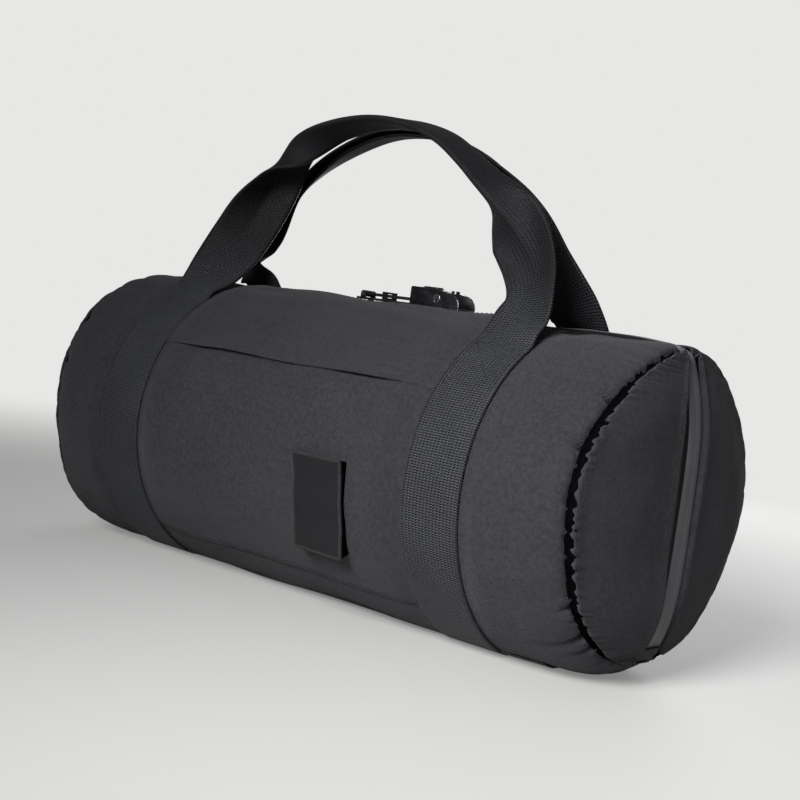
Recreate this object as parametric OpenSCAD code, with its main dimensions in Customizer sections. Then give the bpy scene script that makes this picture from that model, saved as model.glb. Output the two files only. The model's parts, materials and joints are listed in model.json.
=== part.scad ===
// Padded tube case with a lockable two-slider zip and two webbing handles.
// +X runs along the tube, -Y is the pocket side, +Z is up.
// The origin is on the ground, under the middle of the tube.

/* [Tube] */
// Outer diameter of the padded tube
bag_d = 184; // [168:1:210]
// Length between the two end seams
bag_len = 424; // [360:4:520]
// Width of the flat that the case stands on
flat_w = 60; // [44:2:76]
// How much the radius draws in at each end seam
end_draw = 6.5; // [4:0.5:10]
// Length over which the tube draws in towards each end seam
end_taper = 32; // [20:2:48]
// How far each end panel domes out past its seam
end_dome = 14; // [8:1:20]

/* [Walls] */
// Thickness of the woven outer panels
fabric_t = 1; // [0.8:0.1:1.4]
// Thickness of the foam padding
foam_t = 8; // [5:0.5:11]
// Thickness of the lining
lining_t = 0.6; // [0.4:0.1:1]

/* [Opening] */
// Angle, from straight down, of the fold line that each half opens about
fold_angle = 35; // [30:1:38]
// Gap between pieces that part when the case opens
part_gap = 0.3; // [0.2:0.05:0.5]

/* [Zip] */
// Width of each half of the zip tape
tape_w = 18; // [15:0.5:21]
// Thickness of the zip tape
tape_t = 0.8; // [0.6:0.1:1.2]
// Width of each tape half that shows beside the middle line
tape_show = 7.5; // [5:0.5:9]
// Half of the slot between the two coils
slot_half = 0.7; // [0.6:0.05:1]
// Width of one coil
coil_w = 2; // [1.6:0.2:2.6]
// Height of one coil
coil_t = 1.8; // [1.4:0.2:2.4]
// Width of the stitched stop at each lower end of the zip
stop_w = 17; // [12:1:22]
// Height of the stitched stop
stop_h = 5; // [3:0.5:7]
// Thickness of the stitched stop
stop_t = 0.8; // [0.5:0.1:1.5]

/* [Webbing] */
// Width of the webbing
strap_w = 38; // [30:1:50]
// Thickness of the webbing
strap_t = 1.5; // [1.2:0.1:2.2]
// Distance between the centres of the two straps
strap_pitch = 258; // [220:2:290]
// Angle, from straight up, at which the handles leave the tube
exit_angle = 30; // [26:1:34]

/* [Handles] */
// Length from where a handle leaves the tube to the top of its grip
handle_rise = 122; // [105:1:140]
// Width of the grip, where the webbing is folded in half
grip_w = 20; // [16:1:24]
// Thickness of the folded grip
grip_t = 5; // [4:0.5:7]
// Play round the fold that each handle swings about
handle_play = 0.3; // [0.2:0.05:0.5]

/* [Pocket] */
// Thickness of the slip pocket's panel
pocket_t = 1.2; // [0.8:0.1:1.6]
// Angle, from straight down, of the pocket's lower seam
pocket_low = 43; // [40:1:50]
// Angle, from straight down, of the pocket's mouth
pocket_mouth = 124; // [112:1:130]
// How far the upper panel hangs down over the mouth
mouth_lap = 10; // [6:1:16]
// Thickness of the lip that hangs over the mouth
lip_t = 0.5; // [0.4:0.1:0.8]

/* [Patch] */
// Width of the bare patch
patch_w = 38; // [24:1:50]
// Height of the bare patch, round the tube
patch_h = 56; // [30:1:60]
// Thickness of the patch, and of the hook backing behind it
patch_t = 1.2; // [0.8:0.1:1.6]
// Place of the patch's middle along the tube
patch_x = 53; // [0:1:64]
// Angle, from straight down, of the patch's middle
patch_angle = 76; // [72:1:90]

/* [Sliders] */
// Length of a slider
slider_len = 15; // [12:0.5:18]
// Width of a slider's top plate
slider_w = 10; // [8.5:0.5:12]
// Thickness of a slider's plates
slider_t = 1.4; // [1:0.1:1.8]
// Thickness of the wedge between a slider's plates
wedge_t = 0.7; // [0.5:0.05:0.8]
// Play between a slider and the zip that it runs on
slider_play = 0.3; // [0.2:0.05:0.4]
// Place of the left slider's left end along the tube
slider_x = -22; // [-40:1:-18]
// Gap between the two closed sliders
slider_gap = 1; // [0.5:0.25:3]
// Length of the ring that the long pull passes through
ring_t = 3.5; // [2.5:0.25:4]
// Wall of the ring and the eye that hold the long pull
ring_wall = 1.1; // [0.9:0.1:1.5]
// Width of the long pull
pull_w = 7; // [5:0.5:8]
// Thickness of the long pull
pull_t = 1.8; // [1.4:0.1:2.2]
// Play round the long pull in the ring and the lock's mouth
pull_play = 0.35; // [0.25:0.05:0.5]
// Diameter of the pin that holds the long pull
pull_pin_d = 1.6; // [1.2:0.1:2]

/* [Lock] */
// Place of the lock's left face along the tube
lock_x = 24; // [22:1:40]
// Length of the lock
lock_len = 38; // [36:1:46]
// Width of the lock
lock_w = 16; // [15:0.5:22]
// Height of the lock
lock_h = 11.6; // [11:0.1:14]
// Thickness of the plate that closes the lock from below
lock_base_t = 1.2; // [0.8:0.1:1.5]
// Wall between the hollows of the lock
lock_wall = 1; // [0.8:0.1:1.4]
// Depth of the long pull's end in the lock
pull_depth = 3; // [2:0.5:3]
// Diameter of a number wheel
wheel_d = 9; // [8:0.2:10]
// Thickness of a number wheel
wheel_t = 3.2; // [2.6:0.1:3.6]
// Distance between number wheels
wheel_pitch = 4.6; // [4.2:0.1:5]
// How far the wheels stand out of the top
wheel_proud = 1; // [0.6:0.1:1.4]
// Width of the grooves between a wheel's numbers
wheel_notch = 0.8; // [0.5:0.1:1]
// Diameter of the wheels' axle
axle_d = 2; // [1.6:0.1:2.4]
// Gap round the wheels, the button and the key cylinder
lock_gap = 0.3; // [0.2:0.05:0.4]
// Radial clearance of what turns on a pin or in a bore
turn_gap = 0.05; // [0.03:0.01:0.08]
// Diameter of the key cylinder
key_d = 5.2; // [4.4:0.2:5.6]
// Depth of the key cylinder
key_len = 5; // [4:0.5:6]
// How far the key cylinder stands out of the lock's side
key_proud = 0.4; // [0.2:0.1:0.8]
// Width of the key slot
key_slot = 0.9; // [0.7:0.1:1.1]
// Diameter of the release button
button_d = 5; // [4:0.2:5.4]
// Travel of the release button
button_travel = 1.2; // [0.8:0.1:1.4]
// Width and thickness of the rim that keeps the button in
button_rim = 0.8; // [0.6:0.1:1]
// Thickness of the latch bar
latch_t = 0.9; // [0.7:0.1:1.1]
// Wire thickness of the button's spring
spring_wire = 0.4; // [0.3:0.05:0.5]

/* [Hidden] */
$fn = 96;

FRONT = -1;
REAR = 1;
LEFT = -1;
RIGHT = 1;
BLACK = "#2b2a2f";
WEBBING = "#34363b";
FOAM = "#5a5a60";
LINING = "#45464d";
TAPE = "#6a6c72";
GUNMETAL = "#4a4c50";
CHROME = "#c9ccd1";

bag_r = bag_d / 2;
flat_h = sqrt(bag_r * bag_r - flat_w * flat_w / 4);
axis_z = flat_h + strap_t;
fold_z = -bag_r * cos(fold_angle);
foam_in = fabric_t + foam_t;
lining_in = foam_in + lining_t;
tape_in = fabric_t + tape_t;
coil_in = tape_in + coil_t;
far = 2 * bag_len;
// How far a cutting body runs past what it cuts
CUT = 1;

// --- profile of the tube and its ends -----------------------------------
// Depth k is measured inwards from the outer face. The shoulder is an arc that
// leaves the straight wall and meets the dome's arc at the end seam.
ARC_STEPS = 5;
seam_r = bag_r - end_draw;
dome_r = (seam_r * seam_r + end_dome * end_dome) / (2 * end_dome);
dome_x = bag_len / 2 + end_dome - dome_r;
shoulder_r = (end_taper * end_taper + end_draw * end_draw) / (2 * end_draw);
shoulder_x = bag_len / 2 - end_taper;
shoulder_c = bag_r - shoulder_r;

// Where the two arcs cross at depth k, as [radius, x], from the law of cosines.
arcs_apart = norm([dome_x - shoulder_x, shoulder_c]);
function seam_turn(k) = acos(
    ((dome_r - k) ^ 2 + arcs_apart ^ 2 - (shoulder_r - k) ^ 2) / (2 * (dome_r - k) * arcs_apart));
function seam_at(k) =
    let (a = atan2(shoulder_c, shoulder_x - dome_x) + seam_turn(k))
    [(dome_r - k) * sin(a), dome_x + (dome_r - k) * cos(a)];

function shoulder(k) =
    let (s = seam_at(k), a = atan2(s[1] - shoulder_x, s[0] - shoulder_c))
    [for (i = [0:ARC_STEPS]) [
        shoulder_c + (shoulder_r - k) * cos(a * i / ARC_STEPS),
        shoulder_x + (shoulder_r - k) * sin(a * i / ARC_STEPS)]];
function dome(k) =
    let (s = seam_at(k), a = atan2(s[0], s[1] - dome_x))
    [for (i = [0:ARC_STEPS]) [
        i == ARC_STEPS ? 0 : (dome_r - k) * sin(a * (1 - i / ARC_STEPS)),
        dome_x + (dome_r - k) * cos(a * (1 - i / ARC_STEPS))]];
function back(list) = [for (i = [len(list) - 1:-1:0]) list[i]];
function other_end(list) = [for (p = list) [p[0], -p[1]]];

module spin() {
    translate([0, 0, axis_z]) rotate([0, 90, 0]) rotate_extrude() children();
}
module tube_layer(k1, k2) {
    spin() polygon(concat(
        other_end(back(shoulder(k1))), shoulder(k1), back(shoulder(k2)), other_end(shoulder(k2))));
}
module end_layer(end, k1, k2) {
    ring = concat(dome(k1), back(dome(k2)));
    spin() polygon(end == RIGHT ? ring : other_end(ring));
}
module whole_layer(k1, k2) {
    tip = concat(shoulder(k1), dome(k1));
    under = concat(shoulder(k2), dome(k2));
    spin() polygon(concat(other_end(back(tip)), tip, back(under), other_end(under)));
}
module filled(k) {
    spin() polygon(concat(other_end(back(dome(k))), other_end(back(shoulder(k))), shoulder(k), dome(k)));
}

// --- cutting regions ------------------------------------------------------
// One half of the case: above the fold line and on one side of the middle.
module half(side, from_middle) {
    intersection() {
        children();
        translate([-far / 2, side == REAR ? from_middle : -from_middle - far, axis_z + fold_z + part_gap])
            cube([far, far, far]);
    }
}
module base_part() {
    intersection() {
        children();
        translate([-far / 2, -far / 2, -far + axis_z + fold_z]) cube([far, far, far]);
    }
}
// The tube cut off flat at the bottom, at depth k from its outer face.
module flat_filled(k) {
    intersection() {
        filled(k);
        translate([-far / 2, -far / 2, axis_z - flat_h + k]) cube([far, far, far]);
    }
}
module base_layer(k1, k2) {
    base_part() difference() {
        flat_filled(k1);
        flat_filled(k2);
    }
}
module mirrored(side) {
    if (side == FRONT) mirror([0, 1, 0]) children();
    else children();
}
// A curved strip on one side of the tube. Angles run from straight down.
module strip(side, r, t, x1, x2, a1, a2) {
    mirrored(side) translate([0, 0, axis_z]) rotate([0, 90, 0]) rotate([0, 0, a1])
        rotate_extrude(angle = a2 - a1) translate([r, x1]) square([t, x2 - x1]);
}

// --- base -----------------------------------------------------------------
module base_panel() { color(BLACK) base_layer(0, fabric_t); }
module base_foam() { color(FOAM) base_layer(fabric_t, foam_in); }
module base_lining() { color(LINING) base_layer(foam_in, lining_in); }
module base_webbing(end) {
    x = end * strap_pitch / 2 - strap_w / 2;
    color(WEBBING) intersection() {
        difference() {
            translate([x, 0, axis_z]) rotate([0, 90, 0]) cylinder(r = bag_r + strap_t, h = strap_w);
            flat_filled(0);
        }
        translate([-far / 2, -far / 2, 0]) cube([far, far, axis_z + fold_z]);
    }
}
// A stitched tab that closes the zip's lower end on the base.
module zip_stop(end) {
    color(TAPE) base_part() intersection() {
        end_layer(end, -stop_t, 0);
        translate([-far / 2, -stop_w / 2, axis_z + fold_z - stop_h]) cube([far, stop_w, stop_h]);
    }
}

// --- the two halves -------------------------------------------------------
foam_from = tape_w + part_gap;
module half_panel(side) { color(BLACK) half(side, tape_show) tube_layer(0, fabric_t); }
module half_foam(side) { color(FOAM) half(side, foam_from) tube_layer(fabric_t, foam_in); }
module half_lining(side) { color(LINING) half(side, foam_from) tube_layer(foam_in, lining_in); }
module half_end_panel(side, end) { color(BLACK) half(side, tape_show) end_layer(end, 0, fabric_t); }
module half_end_foam(side, end) { color(FOAM) half(side, foam_from) end_layer(end, fabric_t, foam_in); }
module half_end_lining(side, end) {
    color(LINING) half(side, foam_from) end_layer(end, foam_in, lining_in);
}
module zip_tape(side) {
    color(TAPE) intersection() {
        half(side, slot_half) whole_layer(fabric_t, tape_in);
        translate([-far / 2, -tape_w, 0]) cube([far, 2 * tape_w, far]);
    }
}
module zip_coil(side) {
    color(TAPE) intersection() {
        half(side, slot_half) whole_layer(tape_in, coil_in);
        translate([-far / 2, -slot_half - coil_w, 0]) cube([far, 2 * (slot_half + coil_w), far]);
    }
}
// The straps lie on the tube from the fold line up to just under the handles.
// The fold that a handle swings about is above the strap's own outer face.
exit_r = bag_r + strap_t + handle_play + strap_t / 2;
strap_end = 180 - exit_angle - asin((strap_t / 2 + handle_play) / exit_r);
module half_webbing(side, end) {
    x = end * strap_pitch / 2 - strap_w / 2;
    color(WEBBING) half(side, 0)
        strip(side, bag_r, strap_t, x, x + strap_w, fold_angle - 5, strap_end);
}

// --- slip pocket and patch ------------------------------------------------
pocket_half = strap_pitch / 2 - strap_w / 2;
flap_half = pocket_half - 2 * part_gap;
lap_angle = mouth_lap / bag_r * 180 / PI;
mouth_gap = part_gap / bag_r * 180 / PI;
flap_top = 180 - asin(foam_from / bag_r);
module pocket_panel() {
    color(BLACK) strip(FRONT, bag_r, pocket_t, -pocket_half, pocket_half, pocket_low, pocket_mouth);
}
// The upper panel starts beside the zip and hangs over the pocket's mouth.
module pocket_flap() {
    color(BLACK) difference() {
        strip(FRONT, bag_r, pocket_t + lip_t, -flap_half, flap_half,
            pocket_mouth - lap_angle, flap_top);
        strip(FRONT, bag_r - CUT, pocket_t + CUT, -flap_half - CUT, flap_half + CUT,
            pocket_mouth - 2 * lap_angle, pocket_mouth + mouth_gap);
    }
}
patch_turn = patch_h / bag_r * 90 / PI;
module patch_layer(r) {
    strip(FRONT, r, patch_t, patch_x - patch_w / 2, patch_x + patch_w / 2,
        patch_angle - patch_turn, patch_angle + patch_turn);
}
module patch_backing() { color(WEBBING) patch_layer(bag_r + pocket_t); }
module patch() { color(BLACK) patch_layer(bag_r + pocket_t + patch_t); }

// --- handles --------------------------------------------------------------
// Each handle is one band. Its course is given as shares of half the strap
// pitch and of the rise, then its twist in degrees and how far it is folded,
// from 0 at the straps to 1 at the grip.
HANDLE_COURSE = [
    [-1, 0, 0, 0], [-0.98, 0.16, 12, 0], [-0.91, 0.36, 34, 0], [-0.81, 0.55, 48, 0.1],
    [-0.71, 0.7, 58, 0.45], [-0.57, 0.85, 70, 0.95], [-0.37, 0.95, 80, 1], [-0.13, 1, 88, 1],
    [0.1, 0.99, 94, 1], [0.32, 0.92, 100, 1], [0.5, 0.81, 108, 0.95], [0.64, 0.71, 120, 0.55],
    [0.77, 0.6, 132, 0.2], [0.88, 0.48, 142, 0], [0.96, 0.35, 152, 0], [1, 0.17, 168, 0],
    [1, 0, 180, 0]
];
RINGS_BETWEEN = 3;
handle_y = exit_r * sin(exit_angle);
handle_z = axis_z + exit_r * cos(exit_angle);
handle_lean = asin((handle_y - grip_w / 2 - part_gap) / (handle_rise + grip_t / 2));

// A smooth curve through the rows, by the Catmull-Rom rule.
function row(i) = HANDLE_COURSE[max(0, min(len(HANDLE_COURSE) - 1, i))];
function between(i, t) = 0.5 * (
    2 * row(i) + (row(i + 1) - row(i - 1)) * t
    + (2 * row(i - 1) - 5 * row(i) + 4 * row(i + 1) - row(i + 2)) * t * t
    + (3 * row(i) - row(i - 1) - 3 * row(i + 1) + row(i + 2)) * t ^ 3);
handle_rows = concat(
    [for (i = [0:len(HANDLE_COURSE) - 2], j = [0:RINGS_BETWEEN - 1]) between(i, j / RINGS_BETWEEN)],
    [row(len(HANDLE_COURSE) - 1)]);
function course_at(i) = [
    handle_rows[i][0] * strap_pitch / 2, 0, handle_rows[i][1] * handle_rise];
function unit(v) = v / norm(v);
BAND_EDGE = [
    [-1, 0.2], [-0.85, 1], [0.85, 1], [1, 0.2], [1, -0.2], [0.85, -1], [-0.85, -1], [-1, -0.2]
];
// Each ring is a flat octagon across the course: its width leans from along
// the course's own plane, where it is sewn down, to square with that plane.
function ring_at(i) =
    let (last = len(handle_rows) - 1, ends = i == 0 || i == last,
         along = ends ? [0, 0, i == 0 ? 1 : -1]
                      : unit(course_at(i + 1) - course_at(i - 1)),
         out = cross([0, 1, 0], along),
         turn = handle_rows[i][2], fold = max(0, min(1, handle_rows[i][3])),
         wide = -cos(turn) * out - sin(turn) * [0, 1, 0],
         thick = cross(along, wide),
         w = (strap_w + (grip_w - strap_w) * fold) / 2,
         t = (strap_t + (grip_t - strap_t) * fold) / 2)
    [for (c = BAND_EDGE)
        course_at(i) + c[0] * w * wide + c[1] * t * thick];
// The triangles of a tube's skin, with its points ring after ring.
function skin(last, n) = [
    for (i = [0:last - 1], j = [0:n - 1], half = [0, 1])
        let (a = i * n + j, b = i * n + (j + 1) % n, c = b + n, d = a + n)
        half == 0 ? [a, d, c] : [a, c, b]];
module band() {
    n = len(BAND_EDGE);
    last = len(handle_rows) - 1;
    polyhedron(
        points = [for (i = [0:last]) each ring_at(i)],
        faces = concat(
            [[for (j = [0:n - 1]) j]],
            skin(last, n),
            [[for (j = [n - 1:-1:0]) last * n + j]]),
        convexity = 8);
}
module handle(side) {
    color(WEBBING) mirrored(side == FRONT ? REAR : FRONT)
        translate([0, -handle_y, handle_z]) rotate([-handle_lean, 0, 0]) band();
}

// --- sliders --------------------------------------------------------------
// A slider hooks under the front coil only, so the rear half can part from it.
ride_z = axis_z + bag_r + slider_play;
hook_z = axis_z + bag_r - coil_in - 1.5 * slider_play;
right_slider_x = slider_x + slider_len + slider_gap;
eye_r = pull_pin_d / 2 + ring_wall;
eye_x = slider_x + slider_len / 3;
pull_z = ride_z + slider_t + eye_r + pull_play;
gap_w = pull_w + 2 * pull_play;
gap_h = pull_t + 2 * pull_play;
module slider_plates(x) {
    translate([x, -slider_w / 2, ride_z]) cube([slider_len, slider_w, slider_t]);
    translate([x + slider_len / 3, -wedge_t / 2, hook_z - slider_t])
        cube([slider_len / 3, wedge_t, ride_z - hook_z + 1.5 * slider_t]);
    translate([x, -slot_half - coil_w, hook_z - slider_t])
        cube([slider_len, slot_half + coil_w + wedge_t / 2, slider_t]);
}
module across(x, z, r, w) {
    translate([x, w / 2, z]) rotate([90, 0, 0]) cylinder(r = r, h = w);
}
module left_slider() {
    color(GUNMETAL) difference() {
        union() {
            slider_plates(slider_x);
            across(eye_x, pull_z, eye_r, slider_w);
            translate([eye_x - eye_r, -slider_w / 2, ride_z]) cube([2 * eye_r, slider_w, pull_z - ride_z]);
        }
        translate([slider_x - CUT, -gap_w / 2, ride_z + slider_t])
            cube([slider_len + 2 * CUT, gap_w, 3 * eye_r]);
        across(eye_x, pull_z, pull_pin_d / 2, 2 * slider_w);
    }
}
module long_pull() {
    pull_end = lock_x + pull_depth;
    color(GUNMETAL) difference() {
        union() {
            across(eye_x, pull_z, eye_r, pull_w);
            translate([eye_x, -pull_w / 2, pull_z - pull_t / 2]) cube([pull_end - eye_x, pull_w, pull_t]);
        }
        across(eye_x, pull_z, pull_pin_d / 2 + turn_gap, 2 * pull_w);
        translate([pull_end - pull_depth / 2, 0, pull_z - pull_t])
            cylinder(d = pull_depth / 2, h = 2 * pull_t);
    }
}
module pull_pin() { color(CHROME) across(eye_x, pull_z, pull_pin_d / 2, slider_w); }
module right_slider() {
    ring_x = right_slider_x + slider_len / 3;
    color(GUNMETAL) difference() {
        union() {
            slider_plates(right_slider_x);
            translate([right_slider_x + slider_len / 2, -pull_w / 2, ride_z])
                cube([lock_x - right_slider_x - slider_len / 2, pull_w, slider_t]);
            translate([ring_x, -gap_w / 2 - ring_wall, ride_z])
                cube([ring_t, gap_w + 2 * ring_wall, pull_z + gap_h / 2 + ring_wall - ride_z]);
        }
        translate([ring_x - CUT, -gap_w / 2, pull_z - gap_h / 2]) cube([ring_t + 2 * CUT, gap_w, gap_h]);
    }
}

// --- lock -----------------------------------------------------------------
wheel_r = wheel_d / 2;
wheel_step = wheel_t / 2 + lock_gap;
wheel_x = lock_x + pull_depth + pull_play + lock_wall + wheel_step;
wheel_z = ride_z + lock_h + wheel_proud - wheel_r;
wheels_end = wheel_x + 2 * wheel_pitch + wheel_step;
key_x = wheels_end + lock_wall + key_d / 2 + turn_gap;
key_z = ride_z + lock_h / 2;
button_x = key_x + key_d / 2 + turn_gap + lock_wall + button_d / 2 + button_rim + lock_gap;
rim_top = ride_z + lock_h / 2;
spring_r = button_d / 2 - spring_wire;
latch_z = ride_z + lock_base_t;
// The lock's side as shares of its length and height, high at the wheels and
// sloping down past the button.
LOCK_SIDE = [
    [0, 0], [0, 0.93], [0.02, 1], [0.47, 1], [0.83, 0.8], [0.92, 0.66], [0.98, 0.4], [1, 0.2], [1, 0]
];
case_h = lock_h - lock_base_t;
// The button stands out of the sloping top by its travel and a little more.
case_share = lookup((button_x - lock_x) / lock_len, LOCK_SIDE);
button_top = latch_z + case_h * case_share + button_travel + lock_gap;
module lock_case() {
    color(GUNMETAL) difference() {
        translate([lock_x, lock_w / 2, ride_z + lock_base_t]) rotate([90, 0, 0])
            linear_extrude(lock_w) polygon([for (p = LOCK_SIDE) [p[0] * lock_len, p[1] * case_h]]);
        translate([lock_x - CUT, -gap_w / 2, pull_z - gap_h / 2])
            cube([pull_depth + pull_play + CUT, gap_w, gap_h]);
        for (i = [0:2]) translate([wheel_x + i * wheel_pitch - wheel_step, 0, wheel_z]) rotate([0, 90, 0])
            cylinder(r = wheel_r + lock_gap, h = 2 * wheel_step);
        wheel_axle();
        translate([lock_x + lock_wall, -pull_w / 2, latch_z - CUT])
            cube([wheels_end - lock_x, pull_w, latch_t + turn_gap + CUT]);
        translate([key_x, key_len - lock_w / 2 + turn_gap, key_z]) rotate([90, 0, 0])
            cylinder(r = key_d / 2 + turn_gap, h = key_len + 2 * CUT);
        translate([button_x, 0, ride_z]) cylinder(r = button_d / 2 + lock_gap, h = 2 * lock_h);
        translate([button_x, 0, ride_z])
            cylinder(r = button_d / 2 + button_rim + lock_gap, h = rim_top - ride_z);
    }
}
module lock_base() {
    color(GUNMETAL) translate([lock_x, -lock_w / 2, ride_z]) cube([lock_len, lock_w, lock_base_t]);
}
module wheel_axle() {
    color(CHROME) translate([wheel_x - wheel_step - lock_wall, 0, wheel_z]) rotate([0, 90, 0])
        cylinder(d = axle_d, h = 2 * wheel_pitch + 2 * wheel_step + 1.8 * lock_wall);
}
module latch_bar() {
    color(CHROME) translate([lock_x + lock_wall + turn_gap, turn_gap - pull_w / 2, latch_z])
        cube([wheels_end - lock_x - 2 * turn_gap, pull_w - 2 * turn_gap, latch_t]);
}
// A number wheel, with a groove between each of its ten places.
module number_wheel(i) {
    places = 10;
    color("#1c1c1e") translate([wheel_x + (i - 1) * wheel_pitch - wheel_t / 2, 0, wheel_z]) rotate([0, 90, 0])
        difference() {
            cylinder(r = wheel_r, h = wheel_t);
            translate([0, 0, -CUT]) cylinder(r = axle_d / 2 + turn_gap, h = wheel_t + 2 * CUT);
            for (a = [0:360 / places:359]) rotate([0, 0, a + 180 / places])
                translate([wheel_r + wheel_notch / 8, 0, -CUT])
                    cylinder(d = wheel_notch, h = wheel_t + 2 * CUT, $fn = 24);
        }
}
module release_button() {
    color(CHROME) {
        translate([button_x, 0, rim_top - turn_gap - button_rim])
            cylinder(d = button_d, h = button_top + turn_gap - rim_top + button_rim);
        translate([button_x, 0, rim_top - turn_gap - button_rim])
            cylinder(r = button_d / 2 + button_rim, h = button_rim);
    }
}
// A small coil spring from the base plate to the underside of the button.
module button_spring() {
    sides = 8;
    turns = 4;
    steps = turns * 16;
    low = ride_z + lock_base_t + spring_wire / 2;
    high = rim_top - turn_gap - button_rim - spring_wire / 2;
    function ring(k) = let (a = 360 * turns * k / steps)
        [for (j = [0:sides - 1]) let (b = 360 * j / sides, r = spring_r + spring_wire / 2 * cos(b))
            [button_x + r * cos(a), r * sin(a),
             low + (high - low) * k / steps + spring_wire / 2 * sin(b)]];
    color(CHROME) polyhedron(
        points = [for (k = [0:steps]) each ring(k)],
        faces = concat(
            [[for (j = [0:sides - 1]) j]],
            skin(steps, sides),
            [[for (j = [sides - 1:-1:0]) steps * sides + j]]),
        convexity = 10);
}
module key_cylinder() {
    color(CHROME) difference() {
        translate([key_x, key_len - lock_w / 2, key_z]) rotate([90, 0, 0])
            cylinder(d = key_d, h = key_len + key_proud);
        translate([key_x - key_slot / 2, -lock_w / 2 - CUT, key_z - key_d / 3])
            cube([key_slot, CUT + key_len / 2, key_d * 2 / 3]);
    }
}

base_panel();
base_foam();
base_lining();
base_webbing(LEFT);  // base_webbing_left
base_webbing(RIGHT);  // base_webbing_right
zip_stop(LEFT);  // zip_stop_left
zip_stop(RIGHT);  // zip_stop_right
half_panel(FRONT);  // front_panel
half_foam(FRONT);  // front_foam
half_lining(FRONT);  // front_lining
half_end_panel(FRONT, LEFT);  // front_end_panel_left
half_end_panel(FRONT, RIGHT);  // front_end_panel_right
half_end_foam(FRONT, LEFT);  // front_end_foam_left
half_end_foam(FRONT, RIGHT);  // front_end_foam_right
half_end_lining(FRONT, LEFT);  // front_end_lining_left
half_end_lining(FRONT, RIGHT);  // front_end_lining_right
zip_tape(FRONT);  // front_zip_tape
zip_coil(FRONT);  // front_zip_coil
half_webbing(FRONT, LEFT);  // front_webbing_left
half_webbing(FRONT, RIGHT);  // front_webbing_right
half_panel(REAR);  // rear_panel
half_foam(REAR);  // rear_foam
half_lining(REAR);  // rear_lining
half_end_panel(REAR, LEFT);  // rear_end_panel_left
half_end_panel(REAR, RIGHT);  // rear_end_panel_right
half_end_foam(REAR, LEFT);  // rear_end_foam_left
half_end_foam(REAR, RIGHT);  // rear_end_foam_right
half_end_lining(REAR, LEFT);  // rear_end_lining_left
half_end_lining(REAR, RIGHT);  // rear_end_lining_right
zip_tape(REAR);  // rear_zip_tape
zip_coil(REAR);  // rear_zip_coil
half_webbing(REAR, LEFT);  // rear_webbing_left
half_webbing(REAR, RIGHT);  // rear_webbing_right
pocket_panel();
pocket_flap();
patch_backing();
patch();
handle(FRONT);  // front_handle
handle(REAR);  // rear_handle
left_slider();
long_pull();
pull_pin();
right_slider();
lock_case();
lock_base();
wheel_axle();
latch_bar();
number_wheel(1);  // number_wheel_1
number_wheel(2);  // number_wheel_2
number_wheel(3);  // number_wheel_3
release_button();
button_spring();
key_cylinder();
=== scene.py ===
import json
import math

import bmesh
import bpy
import numpy as np
from mathutils import Matrix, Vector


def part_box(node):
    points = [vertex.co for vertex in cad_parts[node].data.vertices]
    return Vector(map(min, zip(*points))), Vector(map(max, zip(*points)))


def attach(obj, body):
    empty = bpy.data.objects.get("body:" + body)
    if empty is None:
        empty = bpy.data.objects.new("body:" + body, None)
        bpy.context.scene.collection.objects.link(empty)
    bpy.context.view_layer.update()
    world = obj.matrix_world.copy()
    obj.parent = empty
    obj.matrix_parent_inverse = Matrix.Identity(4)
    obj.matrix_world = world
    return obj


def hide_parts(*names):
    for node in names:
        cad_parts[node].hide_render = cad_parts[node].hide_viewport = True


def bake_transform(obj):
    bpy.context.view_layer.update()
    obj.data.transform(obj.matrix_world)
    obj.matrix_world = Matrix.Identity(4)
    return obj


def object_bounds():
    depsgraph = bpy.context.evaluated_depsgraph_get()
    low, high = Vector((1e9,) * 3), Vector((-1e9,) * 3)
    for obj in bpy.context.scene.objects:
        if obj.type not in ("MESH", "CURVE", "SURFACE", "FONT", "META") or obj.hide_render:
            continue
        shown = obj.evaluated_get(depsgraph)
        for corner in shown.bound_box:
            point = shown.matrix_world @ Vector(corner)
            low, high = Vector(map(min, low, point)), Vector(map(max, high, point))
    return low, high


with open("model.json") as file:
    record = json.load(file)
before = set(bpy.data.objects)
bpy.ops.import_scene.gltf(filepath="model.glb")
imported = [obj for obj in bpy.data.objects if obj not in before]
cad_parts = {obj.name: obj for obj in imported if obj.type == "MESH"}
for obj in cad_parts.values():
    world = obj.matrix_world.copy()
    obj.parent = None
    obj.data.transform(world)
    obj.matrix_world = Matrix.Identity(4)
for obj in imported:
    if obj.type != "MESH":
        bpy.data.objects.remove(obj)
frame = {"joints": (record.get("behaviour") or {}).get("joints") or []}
cad_low, cad_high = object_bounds()

# The view: a long lens a little above the ground, off the front right corner,
# with the camera rolled so that the case slopes down to the right.
camera_turn = math.radians(40.93)
camera_rise = math.radians(3.44)
camera_roll = math.radians(7.86)
camera = bpy.data.objects.new("camera", bpy.data.cameras.new("camera"))
bpy.context.scene.collection.objects.link(camera)
bpy.context.scene.camera = camera
camera.data.lens = 65.22
camera.data.sensor_width = 36
camera_back = np.array([
    math.sin(camera_turn) * math.cos(camera_rise),
    -math.cos(camera_turn) * math.cos(camera_rise),
    math.sin(camera_rise)])
level = np.array([math.cos(camera_turn), math.sin(camera_turn), 0])
upward = np.cross(camera_back, level)
camera_right = math.cos(camera_roll) * level + math.sin(camera_roll) * upward
camera_up = math.cos(camera_roll) * upward - math.sin(camera_roll) * level


def placed(right, up, back, spot):
    """The matrix that stands a camera or a lamp at spot, looking against back."""
    return Matrix(np.vstack([np.column_stack([right, up, back, spot]), [0, 0, 0, 1]]).tolist())


camera.matrix_world = placed(camera_right, camera_up, camera_back, (0.5952, -0.6628, 0.1758))
bpy.context.scene.view_settings.view_transform = "Standard"

# The shader writing: one class wraps a socket, so that the cloth, webbing and
# metal below are written as sums and products of what they measure.


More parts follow.
